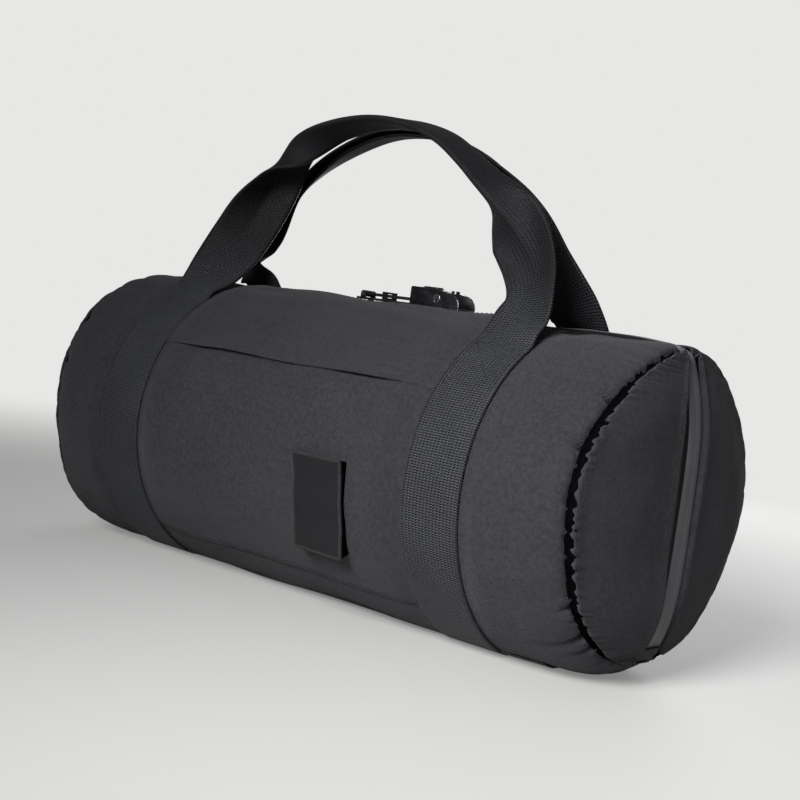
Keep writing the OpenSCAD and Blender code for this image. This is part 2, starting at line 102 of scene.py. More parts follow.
class Value:
    """A shader value. Arithmetic on it adds a Math node of that kind."""

    def __init__(self, tree, socket):
        self.tree = tree
        self.socket = socket

    def node(self, kind, settings=None, out=0, **inputs):
        """Adds one node: its type, its settings, then the value or link of each named socket."""
        made = self.tree.nodes.new(kind)
        for name, value in (settings or {}).items():
            setattr(made, name, value)
        for name, value in inputs.items():
            socket = made.inputs[int(name[1:])] if name[1:].isdigit() else made.inputs[name.replace("_", " ")]
            if isinstance(value, Value):
                self.tree.links.new(value.socket, socket)
            else:
                socket.default_value = value
        return Value(self.tree, made.outputs[out])

    def math(self, operation, *values):
        """A Math node over the values, in the order of its sockets."""
        inputs = {f"i{i}": value for i, value in enumerate(values)}
        return self.node("ShaderNodeMath", {"operation": operation}, **inputs)

    def outlet(self, which):
        """Another output of the same node, by its number or name."""
        return Value(self.tree, self.socket.node.outputs[which])

    def noise(self, scale, detail, **more):
        """Noise in the piece's own space. Scale is the count of its waves in a metre."""
        where = self.node("ShaderNodeTexCoord", out=3)
        return self.node("ShaderNodeTexNoise", Vector=where, Scale=scale, Detail=detail, **more)

    def __add__(self, other):
        return self.math("ADD", self, other)

    __radd__ = __add__

    def __mul__(self, other):
        return self.math("MULTIPLY", self, other)

    __rmul__ = __mul__

    def __sub__(self, other):
        return self.math("SUBTRACT", self, other)

    def __rsub__(self, other):
        return self.math("SUBTRACT", other, self)

    def sin(self):
        """The sine of this value, in radians."""
        return self.math("SINE", self)

    def clamp(self):
        """This value kept from 0 to 1."""
        return self.node("ShaderNodeClamp", Value=self)

    def smooth(self, low, high):
        """0 below low, 1 above high, eased in between."""
        return self.node(
            "ShaderNodeMapRange", {"interpolation_type": "SMOOTHSTEP"},
            Value=self, From_Min=low, From_Max=high)

    def mix(self, low, high):
        """The colour low where this value is 0 and high where it is 1."""
        return self.node(
            "ShaderNodeMix", {"data_type": "RGBA"}, out=2, i0=self, i6=low, i7=high)


def finish_of(name, **fixed):
    """A new material with its main shader. Sockets that are the same all over are set directly."""
    made = bpy.data.materials.new(name)
    made.use_nodes = True
    shader = made.node_tree.nodes["Principled BSDF"]
    for socket, value in fixed.items():
        shader.inputs[socket.replace("_", " ")].default_value = value
    return made, Value(made.node_tree, None), shader


def feed(shader, value, socket):
    """Links a value into a socket of the shader."""
    shader.id_data.links.new(value.socket, shader.inputs[socket])


# The outer fabric: a dense plain weave of textured nylon, black with a violet
# cast. Its threads are about 0.4 mm apart, a little uneven and dusty.


def weave_of(name, colour, pale, pitch, depth, rough, sheen, gloss=0.25):
    """A plain weave on the piece's own UV map in metres: warp and weft swell in turn, as the
    product of two sines whose places wander a little, and noise varies the tone and the gloss."""
    made, v, shader = finish_of(
        name, Sheen_Weight=sheen, Sheen_Roughness=0.5, Specular_IOR_Level=gloss)
    across = v.node("ShaderNodeSeparateXYZ", Vector=v.node("ShaderNodeUVMap"))
    wander = v.noise(45.0, 2.0)
    k = 2 * math.pi / pitch
    warp = (across * k + wander * 5.0).sin()
    weft = (across.outlet(1) * k + wander * 4.0).sin()
    over = warp * weft
    cloud = v.noise(22.0, 4.0)
    slub = v.noise(1100.0, 2.0)
    fleck = v.noise(420.0, 3.0)
    tone = (over * 0.6 + cloud * 0.35 + slub * 0.9 + fleck * 1.1 - 0.68).clamp()
    feed(shader, tone.mix(colour, pale), "Base Color")
    feed(shader, (cloud * 0.16 + (rough - 0.08)).clamp(), "Roughness")
    height = over * 0.5 + slub * 0.35 + fleck * 0.35
    feed(shader, v.node("ShaderNodeBump", Strength=0.9, Distance=depth, Height=height), "Normal")
    return made


fabric = weave_of(
    "woven_fabric", (0.011, 0.0105, 0.013, 1), (0.058, 0.0545, 0.066, 1), 0.0012, 0.0003, 0.85, 0.08)

# The shell: a front and a rear panel that meet under the case and run up round
# the tube to the zip. Padding fills them, the straps draw them in, and the end
# seams gather them into a row of small puffs.
front_low, front_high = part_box("front_panel")
tube_r = -front_low.y
half_len = front_high.x
panel_edge = -front_high.y
fabric_t = 0.001
axis_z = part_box("front_zip_tape")[1].z - math.sqrt((tube_r - fabric_t) ** 2 - 0.0007 ** 2)
ground_h = axis_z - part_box("base_panel")[0].z
strap_low, strap_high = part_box("front_webbing_right")
strap_x = (strap_low.x + strap_high.x) / 2
strap_half = (strap_high.x - strap_low.x) / 2
FRONT, REAR, LEFT, RIGHT = -1, 1, -1, 1
HALVES = ((FRONT, "front"), (REAR, "rear"))
ENDS = ((LEFT, "left"), (RIGHT, "right"))

# Each end seam's radius in millimetres, at degrees from straight down: the filled
# case pulls the seams out of round.
RING = {
    (FRONT, RIGHT): [
        (0, 77), (12, 79.5), (25, 81), (38, 82), (50, 83.5), (63, 85), (75, 85), (87, 87), (99, 89.5),
        (110, 90), (120, 88.5), (134, 85.5), (155, 85.5), (170, 88), (180, 89.5)],
    (REAR, RIGHT): [
        (0, 77), (14, 76), (29, 76), (51, 74), (70, 74.5), (80, 76.5), (90, 78.5), (104, 80.5),
        (121, 81.5), (140, 82.5), (155, 86), (168, 89), (180, 89.5)],
    (FRONT, LEFT): [
        (0, 84), (23, 87), (38, 87), (49, 84.5), (59, 81.5), (68, 79.5), (88, 79), (107, 81.5),
        (118, 82.5), (138, 86.5), (162, 88), (180, 89.5)],
    (REAR, LEFT): [
        (0, 84), (25, 85), (45, 83), (65, 81), (88, 80.5), (110, 82.5), (135, 86), (160, 88), (180, 89.5)]}

# How strongly each end seam is gathered: wide and small lobes of the shell, then
# wide and small lobes of the end panel. The front right seam shows it most.
GATHER = {
    (FRONT, RIGHT): (0.5, 1.0, 1.0, 1.0), (REAR, RIGHT): (0.3, 0.0, 0.3, 0.1),
    (FRONT, LEFT): (1.0, 0.12, 0.4, 0.15), (REAR, LEFT): (0.6, 0.1, 0.4, 0.15)}


def ease(t):
    """0 to 1 along a smooth step, flat at both ends."""
    t = np.clip(t, 0, 1)
    return t * t * (3 - 2 * t)


def ring_at(angle, side, end):
    """Radius of an end seam at an angle from straight down: its measured places, joined smoothly."""
    turn, radius = np.array(RING[side, end]).T
    fine = np.linspace(0, 180, 361)
    rough_ring = np.interp(fine, turn, radius) / 1000
    window = np.hanning(31)
    mirrored = np.concatenate([rough_ring[30:0:-1], rough_ring, rough_ring[-2:-32:-1]])
    smooth_ring = np.convolve(mirrored, window / window.sum(), "same")[30:-30]
    return np.interp(np.degrees(np.abs(angle)), fine, smooth_ring)


def waves(a, b, seed, longest, shortest, count=14):
    """A smooth uneven field on the surface, about -1 to 1: the sum of count cosine waves,
    each with its own direction, length and phase."""
    rng = np.random.default_rng(seed)
    total = np.zeros(np.broadcast(a, b).shape)
    for _ in range(count):
        turn = rng.uniform(0, math.pi)
        k = 2 * math.pi / rng.uniform(shortest, longest)
        total += np.cos(k * (a * math.cos(turn) + b * math.sin(turn)) + rng.uniform(0, 2 * math.pi))
    return total / math.sqrt(count / 2) / 1.6


def puffs(angle, side, end, seed, apart):
    """Gathers round an end seam: rounded lobes with sharp valleys, unevenly wide and deep."""
    arc = angle * tube_r
    shift = waves(arc, arc * 0 + 0.3 * end + 0.7 * side, seed, 9 * apart, 2.2 * apart, 10) * apart * 0.55
    lobe = np.abs(np.cos(math.pi * (arc + shift) / apart)) ** 0.7
    size = 0.6 + 0.6 * waves(arc, arc * 0 + end + 2 * side, seed + 1, 8 * apart, 3 * apart, 8)
    return (lobe - 0.6) * np.clip(size, 0.1, 1.4)


def narrow(angle):
    """How far the seam's groove is drawn shut: a quarter beside the top zip, 0 where it gapes."""
    return 0.25 * ease((angle - math.radians(138)) / math.radians(10))


def ragged(angle, seed):
    """The fine unevenness of a seam's lip: waves 4 to 9 mm long, in metres."""
    arc = angle * tube_r
    return 0.0008 * waves(arc, arc * 0 + 0.1 * seed, seed, 0.009, 0.004, 10)


def gather(side, kind):
    """A kind of gathering on both ends of one half: its strength at the left and the right."""
    return GATHER[side, LEFT][kind], GATHER[side, RIGHT][kind]


# Short pleats that run out of the right end seam: degrees from straight down,
# width in degrees, depth and reach in millimetres.
PLEATS = np.array([
    [133, 1.6, 2.6, 9], [113, 1.4, 2.2, 15], [97, 1.0, 0.9, 7], [58, 1.2, 1.4, 9], [43, 1.8, 2.4, 26],
    [36, 1.2, 1.2, 12], [25, 1.3, 1.2, 10]])


def pleats(angle, before):
    """Depth of the pleats in the right front shell: each a narrow valley across the seam that
    fades with the distance before it."""
    turn = np.degrees(angle)
    before_mm = before * 1000
    total = 0
    for at, width, depth, reach in PLEATS:
        slant = at + 0.12 * np.maximum(before_mm, 0) * np.sign(at - 80)
        total = total + depth / 1000 * np.exp(-((turn - slant) / width) ** 2 - (before_mm / reach) ** 2)
    return total


# How the shell's wall runs into the end seam: distance before the seam, how far
# the radius has gone from the tube's to the seam's, and how far it stands proud.
END_RUN = np.array([
    [44, 0, 0], [34, 0.03, 0.1], [26, 0.12, 0.5], [18, 0.32, 1.1], [12, 0.58, 1.7], [8, 0.8, 2.1],
    [5.4, 0.95, 1.9], [4, 1, 1.2], [3.2, 1, 0], [2.8, 1, -1.6], [2.7, 1, -3.6], [2.9, 1, -6.5]])
END_RUN = END_RUN / [1000, 1, 1000]


def curve_through(rows, count, first, last):
    """A smooth curve of count points through the rows, by the Catmull-Rom rule. First and last
    carry the rows on at both ends."""
    t = np.linspace(0, len(rows) - 1, count)
    i = np.clip(t.astype(int), 0, len(rows) - 2)
    f = (t - i)[:, None]
    p = np.vstack([first, rows, last])
    p0, p1, p2, p3 = p[i], p[i + 1], p[i + 2], p[i + 3]
    return 0.5 * (2 * p1 + (p2 - p0) * f + (2 * p0 - 5 * p1 + 4 * p2 - p3) * f ** 2
                  + (3 * p1 - p0 - 3 * p2 + p3) * f ** 3)


# how the padding gives way, in metres: under a strap, in the swell that stands up
# beside it, beside the ends of the zip's top run, in slow waves and in fine creases
strap_pull = 0.0011
strap_swell = 0.0008
swell_rise, swell_fall = 0.012, 0.03
zip_dip = 0.0018
zip_dip_x = 0.125
wave_h = 0.0009
crease_h = 0.00035


def tube_radius(x, angle, side):
    """Radius of the shell away from its ends: the tube's, drawn in under each strap, full
    between them, and slightly uneven as padded cloth is."""
    arc = angle * tube_r
    off = np.abs(np.abs(x) - strap_x) - strap_half
    under_strap = 1 - ease(off / swell_rise)
    beside = ease(off / swell_rise) * (1 - ease((off - swell_rise) / swell_fall))
    pulled = ease((angle - math.radians(25)) / 0.5)
    r = tube_r - strap_pull * under_strap * pulled + strap_swell * beside * pulled
    r = r + wave_h * waves(x, arc, 11 + side, 0.16, 0.06) * (1 - 0.7 * under_strap)
    near_crown = ease((angle - math.radians(157)) / math.radians(14))
    r = r - zip_dip * (ease((np.abs(x) - zip_dip_x) / 0.03) * near_crown)
    crease = waves(x * 0.5, arc * 2.2, 21 + side, 0.07, 0.03)
    return r + crease_h * crease * (1 - under_strap)


def pressed(h, over):
    """A height with what is over its limit pressed away, softly from 0.7 mm before it."""
    soft = 0.0007
    return h - soft * np.logaddexp(0, over / soft)


def around(r, angle, side):
    """y and z of points at radius r and angle from straight down, on one side, with the
    underside pressed flat where the case stands."""
    h = r * np.cos(angle)
    return side * r * np.sin(angle), axis_z - pressed(h, h - ground_h)


def grid_of(*parts):
    """One grid from parts of fitting shapes, which become its last axis."""
    return np.stack(np.broadcast_arrays(*parts), -1)


def run_along(path):
    """The distance run to each point of a path, or of each row of a grid, from its first point."""
    steps = np.linalg.norm(np.diff(path, axis=-2), axis=-1)
    return np.concatenate([np.zeros_like(steps[..., :1]), np.cumsum(steps, -1)], -1)


def quads_of(i):
    """The four-sided faces between the neighbours of a grid of point numbers."""
    return np.stack([i[:-1, :-1], i[:-1, 1:], i[1:, 1:], i[1:, :-1]], -1).reshape(-1, 4)


def mesh_of(name, points, faces, material, corner_uv=None):
    """A smooth object from points and faces, with a UV map where each face corner has its place."""
    mesh = bpy.data.meshes.new(name)
    mesh.from_pydata(points.reshape(-1, 3), [], faces)
    if corner_uv is not None:
        mesh.uv_layers.new(name="UVMap").data.foreach_set("uv", corner_uv.ravel())
    mesh.polygons.foreach_set("use_smooth", np.ones(len(mesh.polygons), bool))
    mesh.materials.append(material)
    made = bpy.data.objects.new(name, mesh)
    bpy.context.scene.collection.objects.link(made)
    return made


def surface(name, points, uv, material, flip=False):
    """A sheet from a grid of points, (rows, columns, 3), with a UV map in metres."""
    rows, columns = points.shape[:2]
    quads = quads_of(np.arange(rows * columns).reshape(rows, columns))
    if flip:
        quads = quads[:, ::-1]
    return mesh_of(name, points, quads.tolist(), material, uv.reshape(-1, 2)[quads.ravel()])


def thicken(obj, thickness, offset=-1):
    """Gives a sheet its real thickness, inwards from its outer face."""
    wall = obj.modifiers.new("wall", "SOLIDIFY")
    wall.thickness = thickness
    wall.offset = offset
    wall.use_even_offset = False
    return obj


def by_end(end, at_left, at_right):
    """The left end's value on the left of the case and the right end's on the right."""
    return np.where(end > 0, at_right, at_left)


# the height of the shell's lobes in metres: wide ones at the seam and running out
# from it, and small ones at the seam; the widths are one lobe's run round the tube
puff_h = 0.0014
run_out_h = 0.0022
gather_h = 0.0008
gather_w = 0.0085


def shell_grid(side, rows=190):
    """Points of one shell panel: columns run along the tube through both end seams, rows run
    from under the case up to the zip."""
    run = curve_through(END_RUN, 40, 2 * END_RUN[0] - END_RUN[1], 2 * END_RUN[-1] - END_RUN[-2])
    straight = half_len - END_RUN[0, 0]
    middle = np.linspace(-straight, straight, 150)[1:-1]
    x = np.concatenate([-(half_len - run[::-1, 0]), middle, half_len - run[:, 0]])
    share, proud = (np.concatenate([run[::-1, k], np.zeros_like(middle), run[:, k]]) for k in (1, 2))
    end = np.sign(x)
    top = math.pi - math.asin(panel_edge / tube_r)
    v = np.linspace(0, 1, rows)[:, None]
    angle = v * top
    before = half_len - np.abs(x)
    ring = by_end(end, ring_at(angle, side, LEFT), ring_at(angle, side, RIGHT))
    r = tube_radius(x, angle, side) * (1 - share) + ring * share + proud
    wide_lobe = by_end(end, puffs(angle, side, LEFT, 41, 0.024), puffs(angle, side, RIGHT, 31, 0.021))
    small_lobe = by_end(end, puffs(angle, side, LEFT, 45, gather_w), puffs(angle, side, RIGHT, 35, gather_w))
    small = by_end(end, *gather(side, 1))
    wide_lobe = wide_lobe * by_end(end, *gather(side, 0))
    small_lobe = small_lobe * small
    near = np.exp(-(before / 0.010) ** 2)
    far_off = np.exp(-before / 0.024)
    calm = (1 - ease(-proud / 0.002)) * (1 - 0.6 * narrow(angle))
    r = r + wide_lobe * (puff_h * near * calm + run_out_h * far_off) + small_lobe * gather_h * near * calm
    fold_in = pleats(angle, before) * (end > 0) * (side == FRONT)
    r = r - fold_in - np.maximum(proud, 0) * 0.8 * narrow(angle)
    # the cloth of a pleat and of each lobe's lip is also drawn along the tube
    x = x - end * fold_in * 1.9 * near
    rim = (1 - ease((-proud - 0.002) / 0.0045)) * near
    x = x + end * (narrow(angle) * 0.0025 * near - (small_lobe * 0.0004 + wide_lobe * 0.0007) * rim)
    x = x - end * small * 0.75 * ragged(angle, 37) * rim
    # the last row keeps to the zip's edge, whatever the radius
    angle = np.where(v == 1, math.pi - np.arcsin(panel_edge / r), angle + 0 * r)
    y, z = around(r, angle, side)
    return grid_of(x, y, z), grid_of(x, angle * tube_r)


def fold_with(piece):
    """Bakes the piece's placing into its points."""
    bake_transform(piece)


for side, half in HALVES:
    points, uv = shell_grid(side)
    panel = surface(half + "_shell", points, uv, fabric, flip=side == REAR)
    thicken(panel, fabric_t)
    fold_with(panel)
    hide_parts(half + "_panel")

# The end panels: half discs of the same fabric, filled out like small pillows,
# gathered into the end seam and folded under beside the zip.
dome_h = cad_high.x - half_len
# a near-black cloth without gloss, laid in the groove of each end seam as painted shade; the patch's hook
# tape is cut from it too
groove_shade_and_hook_cloth = weave_of(
    "groove_shade_binding", (0.0012, 0.0012, 0.0014, 1), (0.004, 0.004, 0.0045, 1), 0.0008, 0.0001, 0.95, 0, 0)
seam_r = 0.085
seam_top = math.pi - math.asin(panel_edge / seam_r)
seam_foot = math.radians(11)
rim_share = 0.965
# the panel's mouth beside the zip, how far it widens low down, and the groove's depth
# along the case and towards its axis
mouth_in = 0.0006
mouth_widens = 0.0042
rear_mouth = 0.0069
groove_in = 0.0052
groove_down = 0.0062
hem_drop = 0.0019


def dome_x(radius, ring):
    """How far the pillow stands out of the seam's plane: flat in the middle, steep at the rim."""
    return dome_h * (1 - np.clip(radius / ring, 0, 1) ** 4)


def end_grid(side, end, rows=300):
    """Points of half an end panel: rows run up round the seam from its rounded lower corner, columns
    from deep in the seam's groove over the lip to the zip's edge, where the panel is folded under."""
    angle = seam_foot + np.linspace(0, 1, rows)[:, None] * (seam_top - seam_foot)
    ring = ring_at(angle, side, end)
    # the columns: seven down the groove's wall, then seventy over the face
    wall = np.array([1, 0.8, 0.6, 0.42, 0.27, 0.15, 0.06])[None, :]
    across = np.concatenate([np.zeros(7), 1 - (1 - np.linspace(0, 1, 71)[1:] ** 1.3) ** 1.5])[None, :]
    hem = ease((across - 0.968) / 0.032)
    deep = np.concatenate([wall, np.zeros((1, 70))], 1)
    # the inner edge: a mouth beside the zip, with a rounded corner at its foot
    outer_y, outer_z = ring * np.sin(angle), -ring * np.cos(angle)
    above_rim = axis_z + rim_share * outer_z - (axis_z - ring_at(0, side, end))
    mouth, corner = (panel_edge - mouth_in, 0.0065) if side == FRONT else (rear_mouth, 0.001)
    mouth = mouth + mouth_widens * ease((0.158 - above_rim) / 0.025) * (side == FRONT)
    inner_y = mouth + corner * (1 - ease(above_rim / 0.017)) ** 1.6
    inner_y = np.minimum(inner_y, 0.94 * outer_y)
    y = outer_y + (inner_y - outer_y) * across
    z = outer_z * (1 - 0.035 * across)
    radius = np.hypot(y, z)
    inward = np.maximum(ring - radius, 0)
    # the gathers: lobes that are strongest at the lip
    wide, small = GATHER[side, end][2:]
    small_lobe = small * puffs(angle + 0.05, side, end, 51 if end == RIGHT else 61, 0.0072)
    wide_lobe = wide * puffs(angle + 0.02, side, end, 55 if end == RIGHT else 65, 0.019)
    open_seam = 1 - 0.75 * narrow(angle)
    near, far_off = np.exp(-(inward / 0.0055) ** 2), np.exp(-inward / 0.009)
    on_face = 1 - deep
    swell = small_lobe * (0.0008 * near + 0.0005 * far_off) + wide_lobe * 0.0011 * far_off
    x = half_len + dome_x(np.minimum(radius, ring), ring + 0.001)
    x = x + (0.0016 * near + 0.0009 * far_off) * on_face * (1 - 0.6 * narrow(angle))
    x = x + swell * on_face * open_seam
    # the padding's slow waves and the cloth's fine ones
    seed = end + 2 * side
    x = x + 0.0011 * waves(y + 0 * x, z, 71 + seed, 0.12, 0.05) * (1 - far_off)
    x = x + 0.00012 * waves(y * 2.2 + 0 * x, z, 81 + seed, 0.06, 0.02)
    # the turned edge beside the zip, and the wall of the groove
    x = x + 0.0008 * ease((across - 0.86) / 0.09) * (1 - hem) - hem_drop * hem
    x = x - groove_in * deep ** 0.8
    lip = (0.0011 - 0.0009 * narrow(angle)) - small_lobe * 0.0006 * open_seam - wide_lobe * 0.0007 * open_seam
    lip = lip + small * 0.8 * ragged(angle, 53)
    shrink = 1 - (lip * near + groove_down * deep) / np.maximum(radius, 0.01)
    points = grid_of(end * x, side * y * shrink, axis_z + z * shrink)
    return points, grid_of(run_along(points), angle * tube_r)


def groove_shade_tape(side, end, rows=160):
    """A near-black binding laid in the groove as painted shade: a band bent to a channel, round the
    seam between shell and end."""
    angle = np.linspace(0, 1, rows)[:, None] * seam_top
    x = np.array([-0.0031, -0.0027, -0.0019, -0.0004, 0.0012, 0.0023, 0.0030])
    depth = np.array([0.0012, 0.0027, 0.0035, 0.0036, 0.0030, 0.0024, 0.0028])
    r = ring_at(angle, side, end) - depth
    y, z = r * np.sin(angle), axis_z - r * np.cos(angle)
    return grid_of(end * (half_len + x), side * y, z), grid_of(x, angle * tube_r)


for side, half in HALVES:
    for end, where in ENDS:
        points, uv = end_grid(side, end)
        panel = surface(f"{half}_end_{where}", points, uv, fabric, flip=(side * end) > 0)
        thicken(panel, fabric_t)
        fold_with(panel)
        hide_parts(f"{half}_end_panel_{where}")
        # a near-black band lining the seam's groove, as painted shade
        points, uv = groove_shade_tape(side, end)
        groove_shade_band = surface(f"{half}_seam_binding_{where}", points, uv, groove_shade_and_hook_cloth, flip=(side * end) < 0)
        thicken(groove_shade_band, 0.0006)
        fold_with(groove_shade_band)

# The gusset: a small piece of the outer fabric under each end of the zip. It comes
# up out of the end seam, closes the corner between the two end panels, and its
# turned edge covers the zip's tapes.
gusset_top = 0.0205
gusset_front, gusset_rear = -0.0195, 0.0125


def gusset_grid(end, rows=40, columns=41):
    """Points of a gusset: up out of the groove, along the pillow's curve between the panels, and
    over its turned edge."""
    ring = ring_at(0, FRONT, end)
    y = np.linspace(gusset_front, gusset_rear, columns)[None, :]
    low = axis_z - ring
    z = np.concatenate([
        np.array([low + 0.006, low + 0.003, low + 0.001]), np.linspace(low, gusset_top, rows),
        [gusset_top + 0.0003, gusset_top + 0.0001]])[:, None]
    out = np.concatenate([[-0.0048, -0.0044, -0.0030], np.full(rows, 0.0007), [0.0001, -0.0012]])[:, None]
    out[3:7, 0] = [-0.0014, -0.0002, 0.0004, 0.0006]
    out = out - 0.0016 * ease((y - 0.003) / 0.004)
    radius = np.minimum(np.hypot(y, z - axis_z), ring)
    x = half_len + dome_x(radius, ring + 0.001) * (np.arange(rows + 5) > 2)[:, None] + out
    return grid_of(end * x, y, z), grid_of(y, z)


for end, where in ENDS:
    points, uv = gusset_grid(end)
    gusset = thicken(surface("end_gusset_" + where, points, uv, fabric, flip=end == LEFT), 0.0008)
    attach(gusset, "base")
    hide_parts("zip_stop_" + where)

# The base panel: a second layer of the outer fabric sewn flat on the underside,
# where the case stands. Its edges are turned under.


def patch_grid(reach, turn, side, lift, columns, rows):
    """A grid over the tube's underside, out to reach along it and to turn round it, at a height
    lift above the shell."""
    x = np.linspace(-reach, reach, columns)[None, :]
    angle = np.linspace(-turn, turn, rows)[:, None] + 0 * x
    y, z = around(tube_radius(x, angle, side) + lift, angle, side)
    return grid_of(x, y, z), grid_of(x, angle * tube_r)


base_turn = math.radians(24)
base_lift = 0.0005
base_reach = 0.176
base_face = 0.0009
points, uv = patch_grid(base_reach, base_turn, REAR, base_lift, 120, 60)
points[..., 2] = np.maximum(points[..., 2] - base_lift, base_face)
base_panel = surface("base_panel_layer", points, uv, fabric, flip=True)
thicken(base_panel, 0.0008)
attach(base_panel, "base")
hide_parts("base_panel")

# The padding: a slab of foam covered in grey lining, behind every outer panel.
# It is one piece for the bottom and one for each half with its two ends.
lining = weave_of("lining_cloth", (0.05, 0.051, 0.058, 1), (0.1, 0.1, 0.112, 1), 0.0007, 0.00008, 0.7, 0.1)
padding_in = 0.0096
padding_out = 0.0016
zip_room = 0.0185
padding_end = 0.003
padding_rim = 0.0075
padding_bend = 0.034


def wall_grid(side, depth, angle_low, angle_high, rows, ends=True):
    """One face of the padding, at a depth below the shell: up one end, along and down the other."""
    angle = np.linspace(angle_low, angle_high, rows)[:, None]
    left_ring, right_ring = (
        ring_at(angle, side, end) - padding_rim - 0.6 * depth for end in (LEFT, RIGHT))
    reach = half_len - padding_end - depth
    x = np.linspace(-reach, reach, 90)[None, :]
    near_end = ease((np.abs(x) - (reach - padding_bend)) / padding_bend)
    ring = np.where(x < 0, left_ring, right_ring)
    r = (tube_radius(x, angle, side) - depth) * (1 - near_end) + ring * near_end
    h = r * np.cos(angle)
    grid = grid_of(x, r * np.sin(angle), axis_z - pressed(h, h - ground_h + depth))
    if ends:
        b = np.linspace(1, 0, 14)[None, :-1]
        faces = []
        for ring in (left_ring, right_ring):
            rim_y, rim_z = ring * np.sin(angle), axis_z - ring * np.cos(angle)
            inner_z = axis_z - 0.95 * ring * np.cos(angle)
            inner_y = np.minimum(zip_room * ease((inner_z - 0.013) / 0.012), rim_y)
            y = rim_y + (inner_y - rim_y) * b
            z = rim_z + (inner_z - rim_z) * b
            faces.append(grid_of(reach + dome_x(np.hypot(y, z - axis_z), ring) * 0.8, y, z))
        grid = np.concatenate([faces[0] * [-1, 1, 1], grid, faces[1][:, ::-1]], 1)
        clear = np.maximum(grid[..., 1], zip_room)
        grid[..., 1] = np.where(grid[..., 2] > 0.03, clear, grid[..., 1])
    grid[..., 1] *= side
    return grid, grid_of(run_along(grid[rows // 2]), angle * tube_r)


def slab(name, outer, inner, uv, material, flip):
    """A closed piece from its outer and inner face, walled round all four edges."""
    rows, columns = outer.shape[:2]
    n = rows * columns
    i = np.arange(n).reshape(rows, columns)
    face = quads_of(i)
    rim = np.concatenate([i[0, :-1], i[:-1, -1], i[-1, :0:-1], i[:0:-1, 0]])
    following = np.roll(rim, -1)
    walls = np.stack([rim, rim + n, following + n, following], -1)
    quads = np.concatenate([face, face[:, ::-1] + n, walls])
    if flip:
        quads = quads[:, ::-1]
    points = np.concatenate([outer.reshape(-1, 3), inner.reshape(-1, 3)])
    both = np.concatenate([uv.reshape(-1, 2)] * 2)
    return mesh_of(name, points, quads.tolist(), material, both[quads.ravel()])


def pad_of(name, side, low, high, rows, ends, flip):
    """A slab of padding between its two depths, from one angle to another."""
    outer, uv = wall_grid(side, padding_out, low, high, rows, ends)
    inner, uv = wall_grid(side, padding_in, low, high, rows, ends)
    pad = slab(name, outer, inner, uv, lining, flip)
    return pad


join = math.radians(30)
crown = math.pi - math.asin(zip_room / tube_r)
for side, half in HALVES:
    pad = pad_of(half + "_padding", side, join, crown, 90, True, side == REAR)
    fold_with(pad)
    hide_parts(half + "_foam", half + "_lining", *[
        f"{half}_end_{layer}_{where}" for layer in ("foam", "lining") for where in ("left", "right")])
pad = pad_of("base_padding", REAR, -join, join, 50, False, True)
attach(pad, "base")
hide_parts("base_foam", "base_lining")

# The zip: two coated tapes with a satin face, which run from one end of the
# case over its top to the other, and the two nylon coils sewn under their edges.


def smoothed(table, even, run, reach):
    """The columns of a table taken at even runs, each then averaged over reach rows on both sides.
    The ends are carried on by turning them about the end row."""
    columns = range(table.shape[1])
    table = np.stack([np.interp(even, run, table[:, k]) for k in columns], -1)
    window = np.hanning(2 * reach + 1)
    window /= window.sum()
    longer = np.concatenate([
        2 * table[:1] - table[reach:0:-1], table, 2 * table[-1:] - table[-2:-reach - 2:-1]])
    return np.stack([np.convolve(longer[:, k], window, "valid") for k in columns], -1)


def unit(rows):
    """The rows scaled to length 1."""
    return rows / np.maximum(np.linalg.norm(rows, axis=-1, keepdims=True), 1e-12)


def zip_course(count, depth):
    """Points (x, z) up one end, along the top and down the other, on the middle line of the case,
    with rounded corners, and their outward normals; depth is measured in from the outer face. On an
    end the line keeps to the mean pillow of its two panels."""
    up = np.linspace(0.0172, axis_z + 0.0865, 160)
    turn = np.linspace(0, math.pi, 400)
    ends = []
    for end in (RIGHT, LEFT):
        out = 0
        for side in (FRONT, REAR):
            ring = ring_at(turn, side, end)
            edge = axis_z - rim_share * ring * np.cos(turn)
            pillow = dome_x(np.hypot(panel_edge, edge - axis_z), ring + 0.001)
            out = out + np.interp(up, edge, pillow) / 2
        ends.append(grid_of(half_len + out, up))
    x = np.linspace(half_len - 0.0035, 0, 160)
    drop = 0.0020 * ease((x - (half_len - 0.035)) / 0.035)
    over = grid_of(x, axis_z + tube_r - drop)
    right, left = (np.concatenate([rise, over]) for rise in ends)
    line = np.concatenate([right, (left * [-1, 1])[::-1][1:]])
    run = run_along(line)
    line = smoothed(line, np.linspace(0, run[-1], 1200), run, 10)
    pick = np.linspace(0, len(line) - 1, count)
    line = np.stack([np.interp(pick, np.arange(len(line)), line[:, k]) for k in (0, 1)], -1)
    heading = np.gradient(line, axis=0)
    heading /= np.linalg.norm(heading, axis=1)[:, None]
    normal = np.stack([heading[:, 1], -heading[:, 0]], -1)
    return line - depth * normal, normal


tape_in = 0.0012
tape_stands = 0.0013
corner_h = 0.088
trimmed_w = 0.0092


